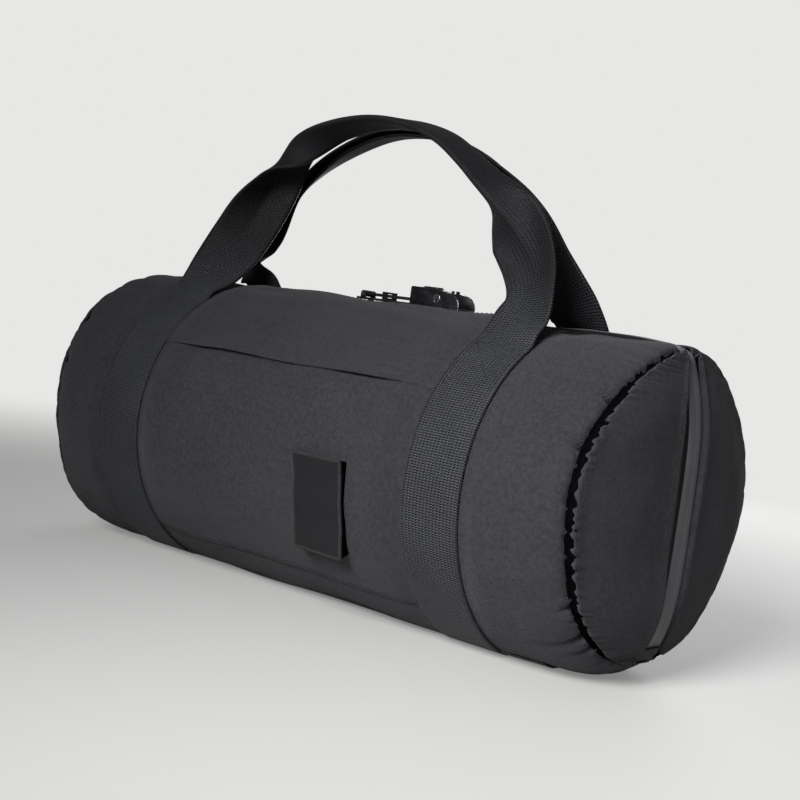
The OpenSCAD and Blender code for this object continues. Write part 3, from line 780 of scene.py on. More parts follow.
def along_zip(side, edge, drop, count):
    """A strip of the zip on one side: edge holds its distances from the middle line, drop how
    far each lies in from the tape's face."""
    line, normal = zip_course(count, tape_in)
    x, z = line[:, :1], line[:, 1:]
    edge, drop = np.array(edge)[None, :], np.array(drop)
    # the tape is trimmed where it turns the corner, so that the end seam closes over it
    off_corner = np.hypot(np.abs(x) - half_len, z - axis_z - corner_h)
    edge = np.minimum(edge, trimmed_w + 0.03 * ease((off_corner - 0.012) / 0.012))
    flat_edge = edge
    # up the ends the coated face is broader, most of all low down
    broad = (0.32 if side == FRONT else 0.18) + 0.14 * (1 - ease((z - 0.03) / 0.09))
    broad = broad * ease((0.174 - z) / 0.014)
    edge = edge * (1 + broad * ease((edge - 0.001) / 0.003) * (1 - ease((edge - 0.006) / 0.0115)))
    # near both ends of its top run the tape stands up between the panels
    stand = tape_stands * ease((np.abs(x) - zip_dip_x) / 0.03) * (1 - ease((np.abs(x) - 0.198) / 0.012))
    drop = drop - stand * (1 - ease((edge - 0.005) / 0.003))
    # along the top it bows down with the tube
    bow = edge ** 2 / (2 * tube_r) * np.abs(normal[:, 1:])
    points = grid_of(x - normal[:, :1] * (drop + bow), side * edge, z - normal[:, 1:] * (drop + bow))
    return points, grid_of(flat_edge, run_along(line)[:, None])


def speckled(name, scale, detail, dark, light, rough, span=None, **fixed):
    """A finish of one noise. It takes the colour from dark to light, over the span where there is
    one, and the roughness by the first number of rough over the second."""
    made, v, shader = finish_of(name, **fixed)
    speck = v.noise(scale, detail)
    tone = speck.smooth(*span) if span else speck
    feed(shader, tone.mix(dark, light), "Base Color")
    feed(shader, speck * rough[0] + rough[1], "Roughness")
    return made


# the tape's coated face ends about 5 mm from the middle, and bare black knit carries on; its near-black
# colour also stands for the shadow line beside the strip, as painted shade
tape_finish, v, shader = finish_of("coated_tape", Specular_IOR_Level=0.4)
grain = v.noise(1400.0, 2.0)
scuff = v.noise(45.0, 5.0, Roughness=0.65)
coated = (scuff * 0.9 + grain * 0.2 - 0.05).clamp().mix((0.095, 0.097, 0.104, 1), (0.19, 0.193, 0.203, 1))
off_middle = v.math("ABSOLUTE", v.node("ShaderNodeSeparateXYZ", Vector=v.node("ShaderNodeUVMap")))
knit_and_shadow_line = off_middle.smooth(0.0050, 0.0054)
feed(shader, knit_and_shadow_line.mix(coated, (0.006, 0.006, 0.007, 1)), "Base Color")
feed(shader, (scuff * 0.3 + 0.38).clamp(), "Roughness")
feed(shader, v.node("ShaderNodeBump", Strength=0.4, Distance=0.00006, Height=grain + scuff * 0.6), "Normal")
coil_finish = speckled(
    "nylon_coil", 300.0, 2.0, (0.03, 0.03, 0.034, 1), (0.075, 0.076, 0.082, 1), (0.2, 0.3), Coat_Weight=0.15)


def tube_mesh(name, rings, material, closed=False):
    """A tube from its rings of points, (count, sides, 3): capped at both ends, or closed to a loop."""
    count, sides = rings.shape[:2]
    i = np.arange(count * sides).reshape(count, sides)
    caps = [] if closed else [i[0][::-1].tolist(), i[-1].tolist()]
    if closed:
        i = np.concatenate([i, i[:1]])
    j = np.roll(i, -1, 1)
    quads = np.stack([i[:-1], j[:-1], j[1:], i[1:]], -1).reshape(-1, 4)
    return mesh_of(name, rings, quads.tolist() + caps, material)


coil_in = 0.0030
coil_off = 0.0017


def coil_mesh(name, side, pitch=0.0016, radius=0.00085, wire=0.00042):
    """A flattened nylon spiral along the zip's course: the wire circles a line just under the
    tape's edge, with the same number of points in every turn."""
    line, normal = zip_course(900, coil_in)
    run = run_along(line)
    turns = int(run[-1] / pitch)
    s = np.linspace(0, run[-1], turns * 10)
    turn = 2 * math.pi * s / pitch
    x, z = (np.interp(s, run, line[:, k]) for k in (0, 1))
    nx, nz = (np.interp(s, run, normal[:, k]) for k in (0, 1))
    centre = np.stack([
        x + nx * radius * 0.8 * np.cos(turn),
        side * (coil_off + radius * np.sin(turn)),
        z + nz * radius * 0.8 * np.cos(turn)], -1)
    heading = np.gradient(centre, axis=0)
    heading /= np.linalg.norm(heading, axis=1)[:, None]
    out = np.stack([nx * np.cos(turn), side * np.sin(turn), nz * np.cos(turn)], -1)
    across = np.cross(heading, out)
    a = np.linspace(0, 2 * math.pi, 5)[:-1, None]
    rings = centre[:, None] + wire * (np.cos(a) * out[:, None] + np.sin(a) * across[:, None])
    return tube_mesh(name, rings, coil_finish)


# the tape across: a turned edge, the coated face, then a step down to the knit
tape_edge = [0.00004, 0.00012, 0.0003, 0.003, 0.0048, 0.0053, 0.0058, 0.008, 0.011, 0.0175]
tape_drop = [0.00012, 0.00002, 0, 0, 0.00005, 0.0003, 0.0009, 0.001, 0.001, 0.001]


for side, half in HALVES:
    points, uv = along_zip(side, tape_edge, tape_drop, 420)
    tape = surface(half + "_tape", points, uv, tape_finish, flip=side == FRONT)
    thicken(tape, 0.0008)
    fold_with(tape)
    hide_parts(half + "_zip_tape")
    coil = coil_mesh(half + "_coil", side)
    fold_with(coil)
    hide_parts(half + "_zip_coil")
# The webbing: 38 mm ribbed nylon, two bands that run right round the case. Above
# the box stitches they leave it and become the handles, folded in half at the grip.
webbing, v, shader = finish_of(
    "ribbed_webbing", Sheen_Weight=0.04, Sheen_Roughness=0.4, Specular_IOR_Level=0.25)
across = v.node("ShaderNodeSeparateXYZ", Vector=v.node("ShaderNodeUVMap"))
warp = (across * (2 * math.pi / 0.0023)).sin()
rib = (across.outlet(1) * (2 * math.pi / 0.0014) + warp * 1.2).sin()
cloud = v.noise(35.0, 4.0)
fluff = v.noise(900.0, 2.0)
selvage = v.math("ABSOLUTE", across).smooth(0.0170, 0.0180)
# painted shade: the webbing's colour is darkened above the case, on the handles, to stand for the shade they
# lie in
place = v.node("ShaderNodeSeparateXYZ", Vector=v.node("ShaderNodeTexCoord", out=3))
painted_handle_shade = place.outlet(2).smooth(0.165, 0.215)
lint = (rib * 0.5 + warp * 0.16 + cloud * 0.3 + fluff * 0.5 - 0.06 - selvage * 0.1).clamp()
tone = lint * (1 - painted_handle_shade * 0.82)
feed(shader, tone.mix((0.004, 0.0041, 0.005, 1), (0.088, 0.092, 0.106, 1)), "Base Color")
feed(shader, (cloud * 0.15 + 0.5).clamp(), "Roughness")
height = rib * 0.5 + warp * 0.25 + fluff * 0.3
feed(shader, v.node("ShaderNodeBump", Strength=0.8, Distance=0.0003, Height=height), "Normal")

strap_t = 0.0015
strap_gap = 0.0002
strap_lift = strap_t / 2 + strap_gap
handle_hinge = [j for j in frame["joints"] if j["name"] == "front_handle_swing"][0]["pos_m"]
handle_y, handle_z = -handle_hinge[1], handle_hinge[2]
handle_in = handle_y - 0.0103
handle_rise = 0.119
exit_turn = math.radians(30)
band_low = math.radians(23)
band_cut = math.radians(97)
fold_turn = math.radians(86)
fold_tight = 0.0013
# Each handle's course, from its left foot to its right one: share of strap_x,
# share of the way in towards the zip, share of the rise, twist in degrees, how
# far it is folded, and how much it is cupped.
FRONT_COURSE = np.array([
    [-1, 0, 0, 0, 0, 0], [-1, 0.24, 0.065, 2, 0, 0], [-0.985, 0.48, 0.16, 14, 0, 0.05],
    [-0.95, 0.72, 0.29, 27, 0.02, 0.1], [-0.888, 0.88, 0.45, 31, 0.12, 0.15],
    [-0.8, 0.95, 0.62, 34, 0.32, 0.15], [-0.715, 0.95, 0.762, 42, 0.52, 0], [-0.57, 0.92, 0.872, 56, 0.86, 0],
    [-0.37, 0.87, 0.957, 73, 1, 0], [-0.13, 0.84, 1, 84, 1, 0], [0.09, 0.81, 0.99, 92, 1, 0],
    [0.31, 0.78, 0.93, 98, 1, 0], [0.485, 0.73, 0.83, 104, 1, 0], [0.625, 0.68, 0.72, 114, 0.9, -0.1],
    [0.74, 0.62, 0.61, 130, 0.62, -0.45], [0.865, 0.59, 0.485, 150, 0.28, -0.8],
    [0.96, 0.57, 0.345, 172, 0.06, -0.9], [1.0, 0.51, 0.2, 190, 0, -0.6], [0.995, 0.27, 0.075, 184, 0, -0.1],
    [1, 0, 0, 180, 0, 0]])
REAR_COURSE = np.array([
    [-1, 0, 0, 0, 0, 0], [-1, 0.38, 0.055, 0, 0, 0], [-1, 0.8, 0.09, 0, 0, 0], [-1, 0.98, 0.12, 6, 0, 0],
    [-1.02, 1.09, 0.19, 24, 0.08, 0], [-1.03, 1.09, 0.29, 38, 0.3, 0.1], [-1.0, 1, 0.4, 46, 0.55, 0.2],
    [-0.915, 0.9, 0.53, 52, 0.8, 0.2], [-0.81, 0.84, 0.665, 62, 0.94, 0.1], [-0.67, 0.82, 0.785, 74, 0.97, 0],
    [-0.49, 0.82, 0.89, 84, 1, 0], [-0.28, 0.82, 0.968, 88, 1, 0], [-0.08, 0.82, 0.99, 90, 1, 0],
    [0.12, 0.82, 0.965, 92, 1, 0], [0.32, 0.84, 0.895, 95, 1, 0], [0.48, 0.86, 0.8, 102, 0.95, 0],
    [0.62, 0.9, 0.685, 112, 0.75, 0], [0.73, 0.96, 0.57, 124, 0.5, 0], [0.815, 1.02, 0.46, 138, 0.25, 0],
    [0.885, 1.06, 0.365, 148, 0.08, 0], [0.945, 1.03, 0.275, 158, 0, 0], [0.985, 0.93, 0.19, 168, 0, 0],
    [1, 0.8, 0.125, 176, 0, 0], [1, 0.63, 0.087, 180, 0, 0], [1, 0.34, 0.055, 180, 0, 0],
    [1, 0, 0, 180, 0, 0]])


def on_tube(x, angle, lift, side):
    """Points at a height lift above the tube's cloth."""
    y, z = around(tube_radius(x, angle, side) + lift, angle, side)
    return grid_of(x, y, z)


def band_rows(course, step=0.0014):
    """Middle line, twist, fold, cup and run of a whole band, on the front side: up the tube on the
    left, round the handle and down the tube on the right, at an even step."""
    rows = curve_through(course, (len(course) - 1) * 10 + 1, course[0], course[-1])
    y = handle_y - rows[:, 1] * handle_in
    lying = axis_z + np.sqrt((tube_r + 0.0012) ** 2 - y ** 2)
    z = np.maximum(handle_z - 0.0012 + rows[:, 2] * handle_rise, lying)
    handle = grid_of(rows[:, 0] * strap_x, -y, z)
    angle = np.linspace(band_low, math.pi - exit_turn - 0.012, 90)
    left = on_tube(np.full(90, -strap_x), angle, strap_lift, FRONT)
    right = on_tube(np.full(90, strap_x), angle, strap_lift, FRONT)[::-1]
    still = np.zeros(90)
    table = np.column_stack([
        np.concatenate([left, handle[1:-1], right]),
        np.concatenate([still, rows[1:-1, 3], still + 180]),
        np.concatenate([still, rows[1:-1, 4], still]),
        np.concatenate([still, rows[1:-1, 5], still])])
    run = run_along(table[:, :3])
    even = np.arange(0, run[-1], step)
    table = smoothed(table, even, run, 4)
    return table[:, :3], np.radians(table[:, 3]), np.clip(table[:, 4], 0, 1), table[:, 5], even


def band_grid(line, twist, fold, cup, run, side, columns=31):
    """The band swept along its middle line. Its width turns about the line by the twist. Across it,
    the tangent turns by the fold about the middle, so that a flat band closes to a U, and by the
    cup evenly over the width."""
    heading = unit(np.gradient(line, axis=0))
    out = unit(np.cross([0, 1, 0], heading))
    # where the band runs straight to the rear, its outward way is given
    level = np.abs(heading[:, 0]) < 1e-4
    out[level] = np.where(heading[level, 2:] > 0, 1, -1) * np.array([1.0, 0, 0])
    wide = -np.cos(twist)[:, None] * out - np.sin(twist)[:, None] * np.cross(heading, out)
    thick = np.cross(heading, wide)
    t = np.linspace(-1, 1, columns)
    s = strap_half * (0.4 * t + 0.6 * t ** 3)
    turn = (fold[:, None] * fold_turn * np.tanh(s / fold_tight)[None, :]
            + cup[:, None] * s[None, :] / strap_half)
    ds = np.diff(s)[None, :]
    mid = (turn[:, 1:] + turn[:, :-1]) / 2
    start = np.zeros((len(line), 1))
    px = np.concatenate([start, np.cumsum(np.cos(mid) * ds, 1)], 1)
    py = np.concatenate([start, np.cumsum(np.sin(mid) * ds, 1)], 1)
    px = px - (px[:, :1] + px[:, -1:]) / 2
    py = py - (py.max(1, keepdims=True) + py.min(1, keepdims=True)) / 2
    roll = fold[:, None] * math.pi / 2
    e1 = np.cos(roll) * wide + np.sin(roll) * thick
    e2 = -np.sin(roll) * wide + np.cos(roll) * thick
    points = line[:, None] + px[..., None] * e1[:, None] + py[..., None] * e2[:, None]
    points[..., 1] *= -side
    return points, grid_of(s, run[:, None])


def band_piece(name, points, uv, side, low, high):
    """The stretch of a band from row low to row high. Its last rows sink a little at both ends, so
    that it passes under the stretch that carries it on."""
    low, high = max(low - 2, 0), min(high + 2, len(points))
    piece = points[low:high].copy()
    sink = np.zeros(len(piece))
    sink[:2] = [0.0005, 0.0002]
    sink[-2:] = [0.0002, 0.0005]
    out = unit((piece - [0, 0, axis_z]) * [0, 1, 1])
    piece = piece - out * sink[:, None, None]
    return thicken(surface(name, piece, uv[low:high], webbing, flip=side == REAR), strap_t, 0)


for side, half, course in ((FRONT, "front", FRONT_COURSE), (REAR, "rear", REAR_COURSE)):
    line, twist, fold, cup, run = band_rows(course)
    points, uv = band_grid(line, twist, fold, cup, run, side)
    turn = np.arctan2(-line[:, 1], axis_z - line[:, 2])
    above = np.nonzero((turn > band_cut) | (line[:, 2] > handle_z))[0]
    carry = band_piece(half + "_carry_band", points, uv, side, above[0], above[-1] + 1)
    hinge = np.array([0, side * handle_y, handle_z])
    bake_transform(carry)
    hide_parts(half + "_handle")
    for where, low, high in (("left", 0, above[0]), ("right", above[-1] + 1, len(points))):
        strap = band_piece(f"{half}_band_{where}", points, uv, side, low, high)
        fold_with(strap)
        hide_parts(f"{half}_webbing_{where}")
for end, where in ENDS:
    angle = np.linspace(-band_low - 0.02, band_low + 0.02, 50)
    line = on_tube(np.full(50, end * strap_x), angle, strap_lift - 0.0001, REAR)
    line[:, 2] = np.maximum(line[:, 2], strap_t / 2)
    s = np.linspace(-strap_half, strap_half, 9)
    points = line[:, None] + s[:, None] * np.array([1.0, 0, 0])
    uv = grid_of(s, angle[:, None] * tube_r)
    strap = thicken(surface("base_band_" + where, points, uv, webbing, flip=True), strap_t, 0)
    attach(strap, "base")
    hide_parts("base_webbing_" + where)

# The slip pocket: a panel sewn in under the straps and along its bottom, loose at
# its mouth, and an upper panel from beside the zip that hangs over the mouth.
pocket_half = strap_x - strap_half
pocket_low = math.radians(43)
flap_edge = math.radians(122)


def pocket_grid(low, high, lift, rows=70, columns=150):
    """A panel between the straps, whose height above the shell is lift(across, up), with across
    and up running from 0 to 1."""
    x = np.linspace(-pocket_half - 0.004, pocket_half + 0.004, columns)[None, :]
    angle = np.linspace(low, high, rows)[:, None] + 0 * x
    across = np.clip((x + pocket_half) / (2 * pocket_half), 0, 1) + 0 * angle
    up = (angle - low) / (high - low)
    y, z = around(tube_radius(x, angle, FRONT) + lift(across, up), angle, FRONT)
    return grid_of(x, y, z), grid_of(x, angle * tube_r)


def between_straps(a):
    """0 at the straps and 1 well inside them."""
    return ease(a / 0.1) * ease((1 - a) / 0.1)


def pocket_lift(a, b):
    """Height of the pocket: loose above its bottom seam, but fallen back to the shell at two
    places of its mouth, with slow waves between."""
    loose = between_straps(a) * ease(b / 0.3)
    wedge = np.exp(-((a - 0.15) / 0.08) ** 2) + 0.9 * np.exp(-((a - 0.5) / 0.07) ** 2)
    fall = 0.95 * wedge * ease((b - 0.74) / 0.2)
    return 0.0006 + 0.0018 * loose * (1 - fall) + 0.0005 * waves(a * 0.22, b * 0.1, 91, 0.09, 0.03) * loose


def flap_lift(a, b):
    """Height of the upper panel: its lower lip stands open by an amount that waves along it."""
    lip = 1 - ease(b / 0.22)
    open_lip = lip * between_straps(a) * (0.7 + 0.5 * np.cos(2 * math.pi * (a - 0.3) * 2.1))
    return 0.0012 + 0.0010 * between_straps(a) * (1 - ease((b - 0.8) / 0.2)) + 0.0032 * open_lip


points, uv = pocket_grid(pocket_low, math.radians(128), pocket_lift)
pocket = surface("slip_pocket", points, uv, fabric)
thicken(pocket, 0.0008)
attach(pocket, "front_half")
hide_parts("pocket_panel")
flap_top = math.pi - math.asin((panel_edge + 0.0012) / tube_r)
points, uv = pocket_grid(flap_edge, flap_top, flap_lift)
flap = surface("pocket_upper_panel", points, uv, fabric)
thicken(flap, 0.0009)
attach(flap, "front_half")
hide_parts("pocket_flap")

# The stitching: black bonded thread, sunk a little into the cloth. A box with a
# cross holds each strap under its handle, and single rows run beside the zip,
# along the pocket's bottom and down the edges of the end panels.
thread = speckled(
    "bonded_thread", 1500.0, 1.0, (0.004, 0.004, 0.005, 1), (0.02, 0.02, 0.023, 1), (0.2, 0.4),
    Specular_IOR_Level=0.5)
stitch_pitch = 0.0034
stitch_len = 0.0026


def stitch_line(path, out, pitch=stitch_pitch, length=stitch_len):
    """Starts, ends and outward directions of stitches at an even pitch along a path of points."""
    run = run_along(path)
    begin = np.arange(int((run[-1] - length) / pitch) + 1) * pitch
    at = [np.stack([np.interp(begin + step, run, rows[:, k]) for k in range(3)], -1)
          for step, rows in ((0, path), (length, path), (length / 2, out))]
    return at[0], at[1], unit(at[2])


def stitching(name, lines, thick=0.00026):
    """Stitches along many lines: each is a six-sided strand that swells in its middle and dips
    into the cloth at both ends."""
    begin, finish, out = (np.concatenate(part) for part in zip(*[stitch_line(*line) for line in lines]))
    t = np.array([0, 0.14, 0.5, 0.86, 1])
    swell = np.array([0.35, 0.85, 1, 0.85, 0.35])
    dip = np.array([-1.1, -0.2, 0.25, -0.2, -1.1]) * thick
    along = finish - begin
    across = unit(np.cross(along, out))
    a = np.linspace(0, 2 * math.pi, 7)[:-1, None]
    centre = begin[:, None] + along[:, None] * t[:, None] + out[:, None] * dip[:, None]
    circle = np.cos(a) * out[:, None, None] + np.sin(a) * across[:, None, None]
    rings = centre[:, :, None] + thick * swell[:, None, None] * circle
    i = np.arange(len(begin) * 30).reshape(len(begin), 5, 6)
    j = np.roll(i, -1, 2)
    quads = np.stack([i[:, :-1], j[:, :-1], j[:, 1:], i[:, 1:]], -1).reshape(-1, 4).tolist()
    caps = i[:, 0, ::-1].tolist() + i[:, -1].tolist()
    return mesh_of(name, rings, quads + caps, thread)


def on_half(x, angle, lift, side):
    """A stitched path on the tube, and its outward directions."""
    x, angle = np.broadcast_arrays(x, angle)
    out = np.stack([0 * x, side * np.sin(angle), -np.cos(angle)], -1)
    return on_tube(x, angle, lift, side), out


step = np.linspace(0, 1, 60)
box_below_exit = 0.0055
box_h = 0.034
row_in = 0.0032
box_top = math.pi - exit_turn - box_below_exit / tube_r
box_low = box_top - box_h / tube_r
box_half = strap_half - row_in
zip_row = math.pi - math.asin((panel_edge + row_in) / tube_r)
for side, half in HALVES:
    lines = []
    for middle in (-strap_x, strap_x):
        low, high = middle - box_half, middle + box_half
        for x_from, x_to, turn_from, turn_to in (
                (low, high, box_top, box_top), (low, high, box_low, box_low), (low, low, box_low, box_top),
                (high, high, box_low, box_top), (low, high, box_low, box_top), (low, high, box_top, box_low)):
            x = x_from + (x_to - x_from) * step
            turn = turn_from + (turn_to - turn_from) * step
            lines.append(on_half(x, turn, strap_gap + strap_t, side))
    boxes = stitching(half + "_box_stitches", lines)
    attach(boxes, half + "_half")
    # beside the zip the row crosses the pocket's upper panel on the front
    x = np.linspace(-0.2, 0.2, 500)
    over_pocket = (np.abs(x) < pocket_half + 0.004) & (side == FRONT)
    rows = [on_half(x, zip_row, np.where(over_pocket, 0.00125, 0.0), side)]
    if side == FRONT:
        x = np.linspace(-pocket_half, pocket_half, 300)
        rows += [on_half(x, pocket_low + 0.0035 / tube_r, 0.0007, side)]
    seams = stitching(half + "_row_stitches", rows)
    fold_with(seams)
    for end, where in ENDS:
        # the hem's row runs up the end panel's column that lies 4 mm from its inner edge
        points, uv = end_grid(side, end)
        across = np.abs(points[150, :, 1])
        column = int(np.argmin(np.abs(across - across[-1] - 0.004)))
        path = points[45:-14, column]
        hems = stitching(f"{half}_end_stitches_{where}", [(path, np.array([[end, 0.0, 0.0]]) + 0 * path)])
        fold_with(hems)

# The patch: a bare woven label stitched round its edge to hook tape, which holds
# it to the pocket. Its cut edge is wrapped in close thread.
label_cloth, v, shader = finish_of("woven_label", Specular_IOR_Level=0.3)
across = v.node("ShaderNodeSeparateXYZ", Vector=v.node("ShaderNodeUVMap"))
pick = (across.outlet(1) * (2 * math.pi / 0.00075)).sin() + (across * (2 * math.pi / 0.0009)).sin() * 0.5
fluff = v.noise(900.0, 2.0)
tone = (pick * 0.25 + fluff * 0.6).clamp()
feed(shader, tone.mix((0.004, 0.004, 0.005, 1), (0.03, 0.03, 0.034, 1)), "Base Color")
feed(shader, fluff * 0.2 + 0.6, "Roughness")
feed(shader, v.node("ShaderNodeBump", Strength=0.6, Distance=0.0001, Height=pick * 0.5 + fluff), "Normal")
edge_thread = speckled(
    "edge_thread", 1300.0, 2.0, (0.003, 0.003, 0.0034, 1), (0.014, 0.014, 0.0155, 1), (0.2, 0.5),
    Specular_IOR_Level=0.4, Sheen_Weight=0.15)

patch_low, patch_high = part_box("patch")
patch_x = (patch_low.x + patch_high.x) / 2
patch_half = (patch_high.x - patch_low.x) / 2
patch_from, patch_to = (
    math.acos((axis_z - z) / (tube_r + 0.003)) for z in (patch_low.z + 0.003, patch_high.z - 0.001))
hook_lift, patch_lift, patch_top = 0.0018, 0.0036, 0.0048
border_h = 0.0285


def patch_frame(across, up, lift):
    """Points on the patch: across and up run from -1 to 1 over it, at a height above the shell. It
    stays flat while the tube curves away, and its bottom stands off a little."""
    x = patch_x + across * patch_half
    middle = (patch_from + patch_to) / 2
    angle = middle + up * (patch_to - patch_from) / 2
    bend = angle - middle
    stiff = (0.9 * tube_r * (1 / np.cos(bend) - 1) + 0.0008 * (1 - up)) * (lift > 0.002)
    return x, angle, on_tube(x, angle, lift + stiff, FRONT)


def patch_slab(name, inset, low, high, material):
    """A flat closed slab that follows the tube, inset from the patch's edge."""
    across = np.linspace(-1, 1, 31)[None, :] * (1 - inset / patch_half)
    up = np.linspace(-1, 1, 41)[:, None] * (1 - inset / 0.028)
    across, up = np.broadcast_arrays(across, up)
    x, angle, outer = patch_frame(across, up, high)
    inner = patch_frame(across, up, low)[2]
    return slab(name, outer, inner, np.stack([x, angle * tube_r], -1), material, False)


hook = patch_slab("patch_hook_tape", 0.0008, hook_lift, patch_lift, groove_shade_and_hook_cloth)
label = patch_slab("bare_patch", 0.0009, patch_lift, patch_top, label_cloth)
# the stitched edge: a ridged cord of close wraps round a rectangle with eased corners
corner, wraps = 0.0022, 210
border_in = 0.0011
border_thick, border_wide = 0.0009, 0.0011
turn = np.linspace(0, 2 * math.pi, wraps * 6 + 1)[:-1]
half_w, half_h = patch_half - border_in, border_h - border_in
reach = np.minimum(
    half_w / np.maximum(np.abs(np.cos(turn)), 1e-9), half_h / np.maximum(np.abs(np.sin(turn)), 1e-9))
path = grid_of(reach * np.cos(turn), reach * np.sin(turn))
run = run_along(path)
even = np.linspace(0, run[-1], len(turn))
window = np.hanning(2 * int(corner / (run[1:] - run[:-1]).mean()) + 1)
window /= window.sum()
path_x, path_h = (
    np.convolve(np.tile(np.interp(even, run, p), 3), window, "same")[len(p):2 * len(p)] for p in path.T)
ridge = 1 + 0.14 * np.cos(2 * math.pi * np.arange(len(turn)) / 6)
angle, middle = patch_frame(path_x / patch_half, path_h / border_h, (patch_lift + patch_top) / 2)[1:]
out = grid_of(0 * angle, -np.sin(angle), -np.cos(angle))
heading = unit(np.roll(middle, -1, 0) - np.roll(middle, 1, 0))
side_way = np.cross(heading, out)
a = np.linspace(0, 2 * math.pi, 9)[:-1, None]
rings = middle[:, None] + ridge[:, None, None] * (
    border_thick * np.cos(a) * out[:, None] + border_wide * np.sin(a) * side_way[:, None])
border = tube_mesh("patch_edge", rings, edge_thread, closed=True)
for piece, name in ((hook, "hook_tape"), (label, "patch"), (border, "patch")):
    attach(piece, "front_half")
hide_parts("patch_backing")
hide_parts("patch")

# The sliders and the combination lock: die-cast zinc, plated dark, with the plating
# worn bright along its edges. The number wheels are black plastic on a steel axle.
plating, v, shader = finish_of("dark_plating")
cast = v.noise(260.0, 4.0)
rub = v.noise(90.0, 6.0, Roughness=0.7)
feed(shader, rub.smooth(0.35, 0.8).mix((0.03, 0.031, 0.034, 1), (0.11, 0.113, 0.12, 1)), "Base Color")
feed(shader, rub * 0.12 + 0.86, "Metallic")
feed(shader, (cast * 0.25 + 0.22).clamp(), "Roughness")
feed(shader, v.node("ShaderNodeBump", Strength=0.3, Distance=0.00006, Height=cast), "Normal")
worn = speckled(
    "worn_edge", 160.0, 5.0, (0.12, 0.122, 0.128, 1), (0.5, 0.51, 0.53, 1), (0.2, 0.12),
    span=(0.3, 0.7), Metallic=1.0)
steel = speckled(
    "polished_steel", 200.0, 4.0, (0.42, 0.43, 0.45, 1), (0.66, 0.67, 0.7, 1), (0.15, 0.1), Metallic=1.0)
wheel_finish = speckled(
    "black_wheel", 420.0, 3.0, (0.006, 0.006, 0.007, 1), (0.03, 0.03, 0.033, 1), (0.25, 0.25),
    Coat_Weight=0.3, Coat_Roughness=0.15)


def eased_copy(node, body, finish, edge, width):
    """A copy of a solid with its triangles merged to faces and its edges eased by a narrow bevel,
    which takes a finish of its own."""
    mesh = bpy.data.objects[node].data.copy()
    mesh.name = node + "_eased"
    work = bmesh.new()
    work.from_mesh(mesh)
    bmesh.ops.remove_doubles(work, verts=work.verts, dist=1e-6)
    bmesh.ops.dissolve_limit(work, angle_limit=math.radians(1), verts=work.verts, edges=work.edges)
    for face in work.faces:
        face.material_index = 0
        face.smooth = True
    work.to_mesh(mesh)
    work.free()
    mesh.materials.clear()
    mesh.materials.append(finish)
    mesh.materials.append(edge)
    copy = bpy.data.objects.new(node + "_eased", mesh)
    bpy.context.scene.collection.objects.link(copy)
    bevel = copy.modifiers.new("eased", "BEVEL")
    bevel.width = width
    bevel.segments = 2
    bevel.limit_method = "ANGLE"
    bevel.angle_limit = math.radians(28)
    bevel.material = 1
    bevel.harden_normals = True
    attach(copy, body)
    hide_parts(node)
    return copy


for body, nodes in (
        ("left_slider", ("left_slider", "long_pull")),
        ("right_slider", ("right_slider", "lock_case", "lock_base")),
        ("release_button", ("release_button",))):
    for node in nodes:
        eased_copy(node, body, plating, worn, 0.00028)
eased_copy("key_cylinder", "key_cylinder", steel, steel, 0.0002)
for n in (1, 2, 3):
    wheel = f"number_wheel_{n}"
    eased_copy(wheel, wheel, wheel_finish, wheel_finish, 0.0002)
for node in ("pull_pin", "wheel_axle", "latch_bar", "button_spring"):
    for place in bpy.data.objects[node].material_slots:
        place.material = steel

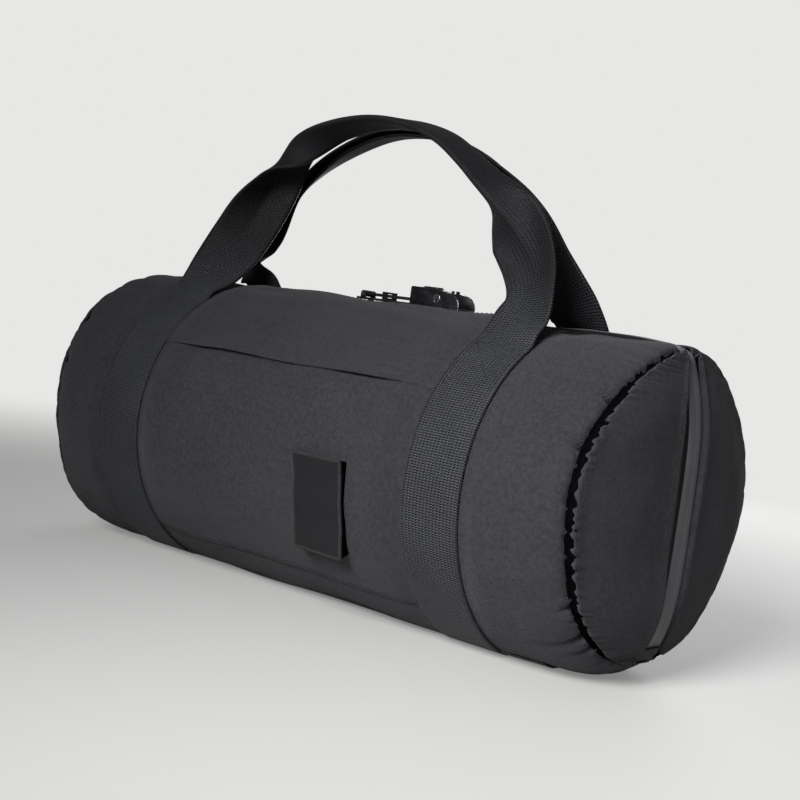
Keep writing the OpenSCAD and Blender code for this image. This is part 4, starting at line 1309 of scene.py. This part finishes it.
# The floor and the light: a pale sweep that runs out into a pale room, one broad
# soft lamp in front on the right, a weak one on the left and two behind.
background = (0.8, 0.8, 0.79, 1)
made, v, shader = finish_of("pale_floor", Base_Color=(0.6, 0.6, 0.59, 1), Roughness=0.7)
place = v.node("ShaderNodeSeparateXYZ", Vector=v.node("ShaderNodeTexCoord", out=3))
distance = v.math("SQRT", v.math("POWER", place, 2.0) + v.math("POWER", place.outlet(1), 2.0))
feed(shader, 1 - distance.smooth(0.42, 1.15), "Alpha")
shader.inputs["Emission Strength"].default_value = 1.0
feed(shader, v.node("ShaderNodeLightPath").mix((0, 0, 0, 1), (0.2, 0.2, 0.197, 1)), "Emission Color")
floor_r = 1.3
floor = surface("floor", np.array([
    [[-floor_r, -floor_r, 0], [floor_r, -floor_r, 0]],
    [[-floor_r, floor_r, 0], [floor_r, floor_r, 0]]], float), np.zeros((2, 2, 2)), made)


def soft_lamp(name, place, aim, size, power, spread):
    """A soft rectangular lamp at a place, turned to its aim: size in metres, power in watts and
    spread in degrees."""
    lamp = bpy.data.lights.new(name, "AREA")
    lamp.shape = "RECTANGLE"
    lamp.size, lamp.size_y = size
    lamp.energy = power
    lamp.spread = math.radians(spread)
    made = bpy.data.objects.new(name, lamp)
    bpy.context.scene.collection.objects.link(made)
    back = unit(np.array(place, float) - np.array(aim, float))
    across = unit(np.cross([0, 0, 1], back))
    made.matrix_world = placed(across, np.cross(back, across), back, place)


soft_lamp("key_lamp", (0.34, -1.0, 0.62), (0.26, 0, 0.06), (0.5, 0.5), 2.35, 60)
soft_lamp("side_lamp", (-1.2, -0.7, 0.9), (-0.1, 0, 0.1), (0.8, 0.8), 0.22, 180)
soft_lamp("rim_lamp", (0.3, 1.2, 1.0), (0, 0, 0.2), (1.6, 0.4), 1.0, 180)
soft_lamp("back_lamp", (-0.5, 1.4, 0.3), (0, 0, 0.1), (1.0, 0.5), 9, 180)
room = bpy.data.worlds.new("room")
bpy.context.scene.world = room
room.use_nodes = True
lit = room.node_tree.nodes["Background"]
lit.inputs["Color"].default_value = (0.86, 0.87, 0.9, 1)
lit.inputs["Strength"].default_value = 0.11
v = Value(room.node_tree, None)
rays = v.node("ShaderNodeLightPath")
# the camera sees the pale room, also through clear parts, and the case is lit by a dim one
seen = v.math("MAXIMUM", rays, rays.outlet("Is Transmission Ray"))
backdrop = v.node("ShaderNodeBackground", Color=background, Strength=1.0)
blend = v.node("ShaderNodeMixShader", Fac=seen, i1=Value(v.tree, lit.outputs[0]), i2=backdrop)
room.node_tree.links.new(blend.socket, room.node_tree.nodes["World Output"].inputs["Surface"])
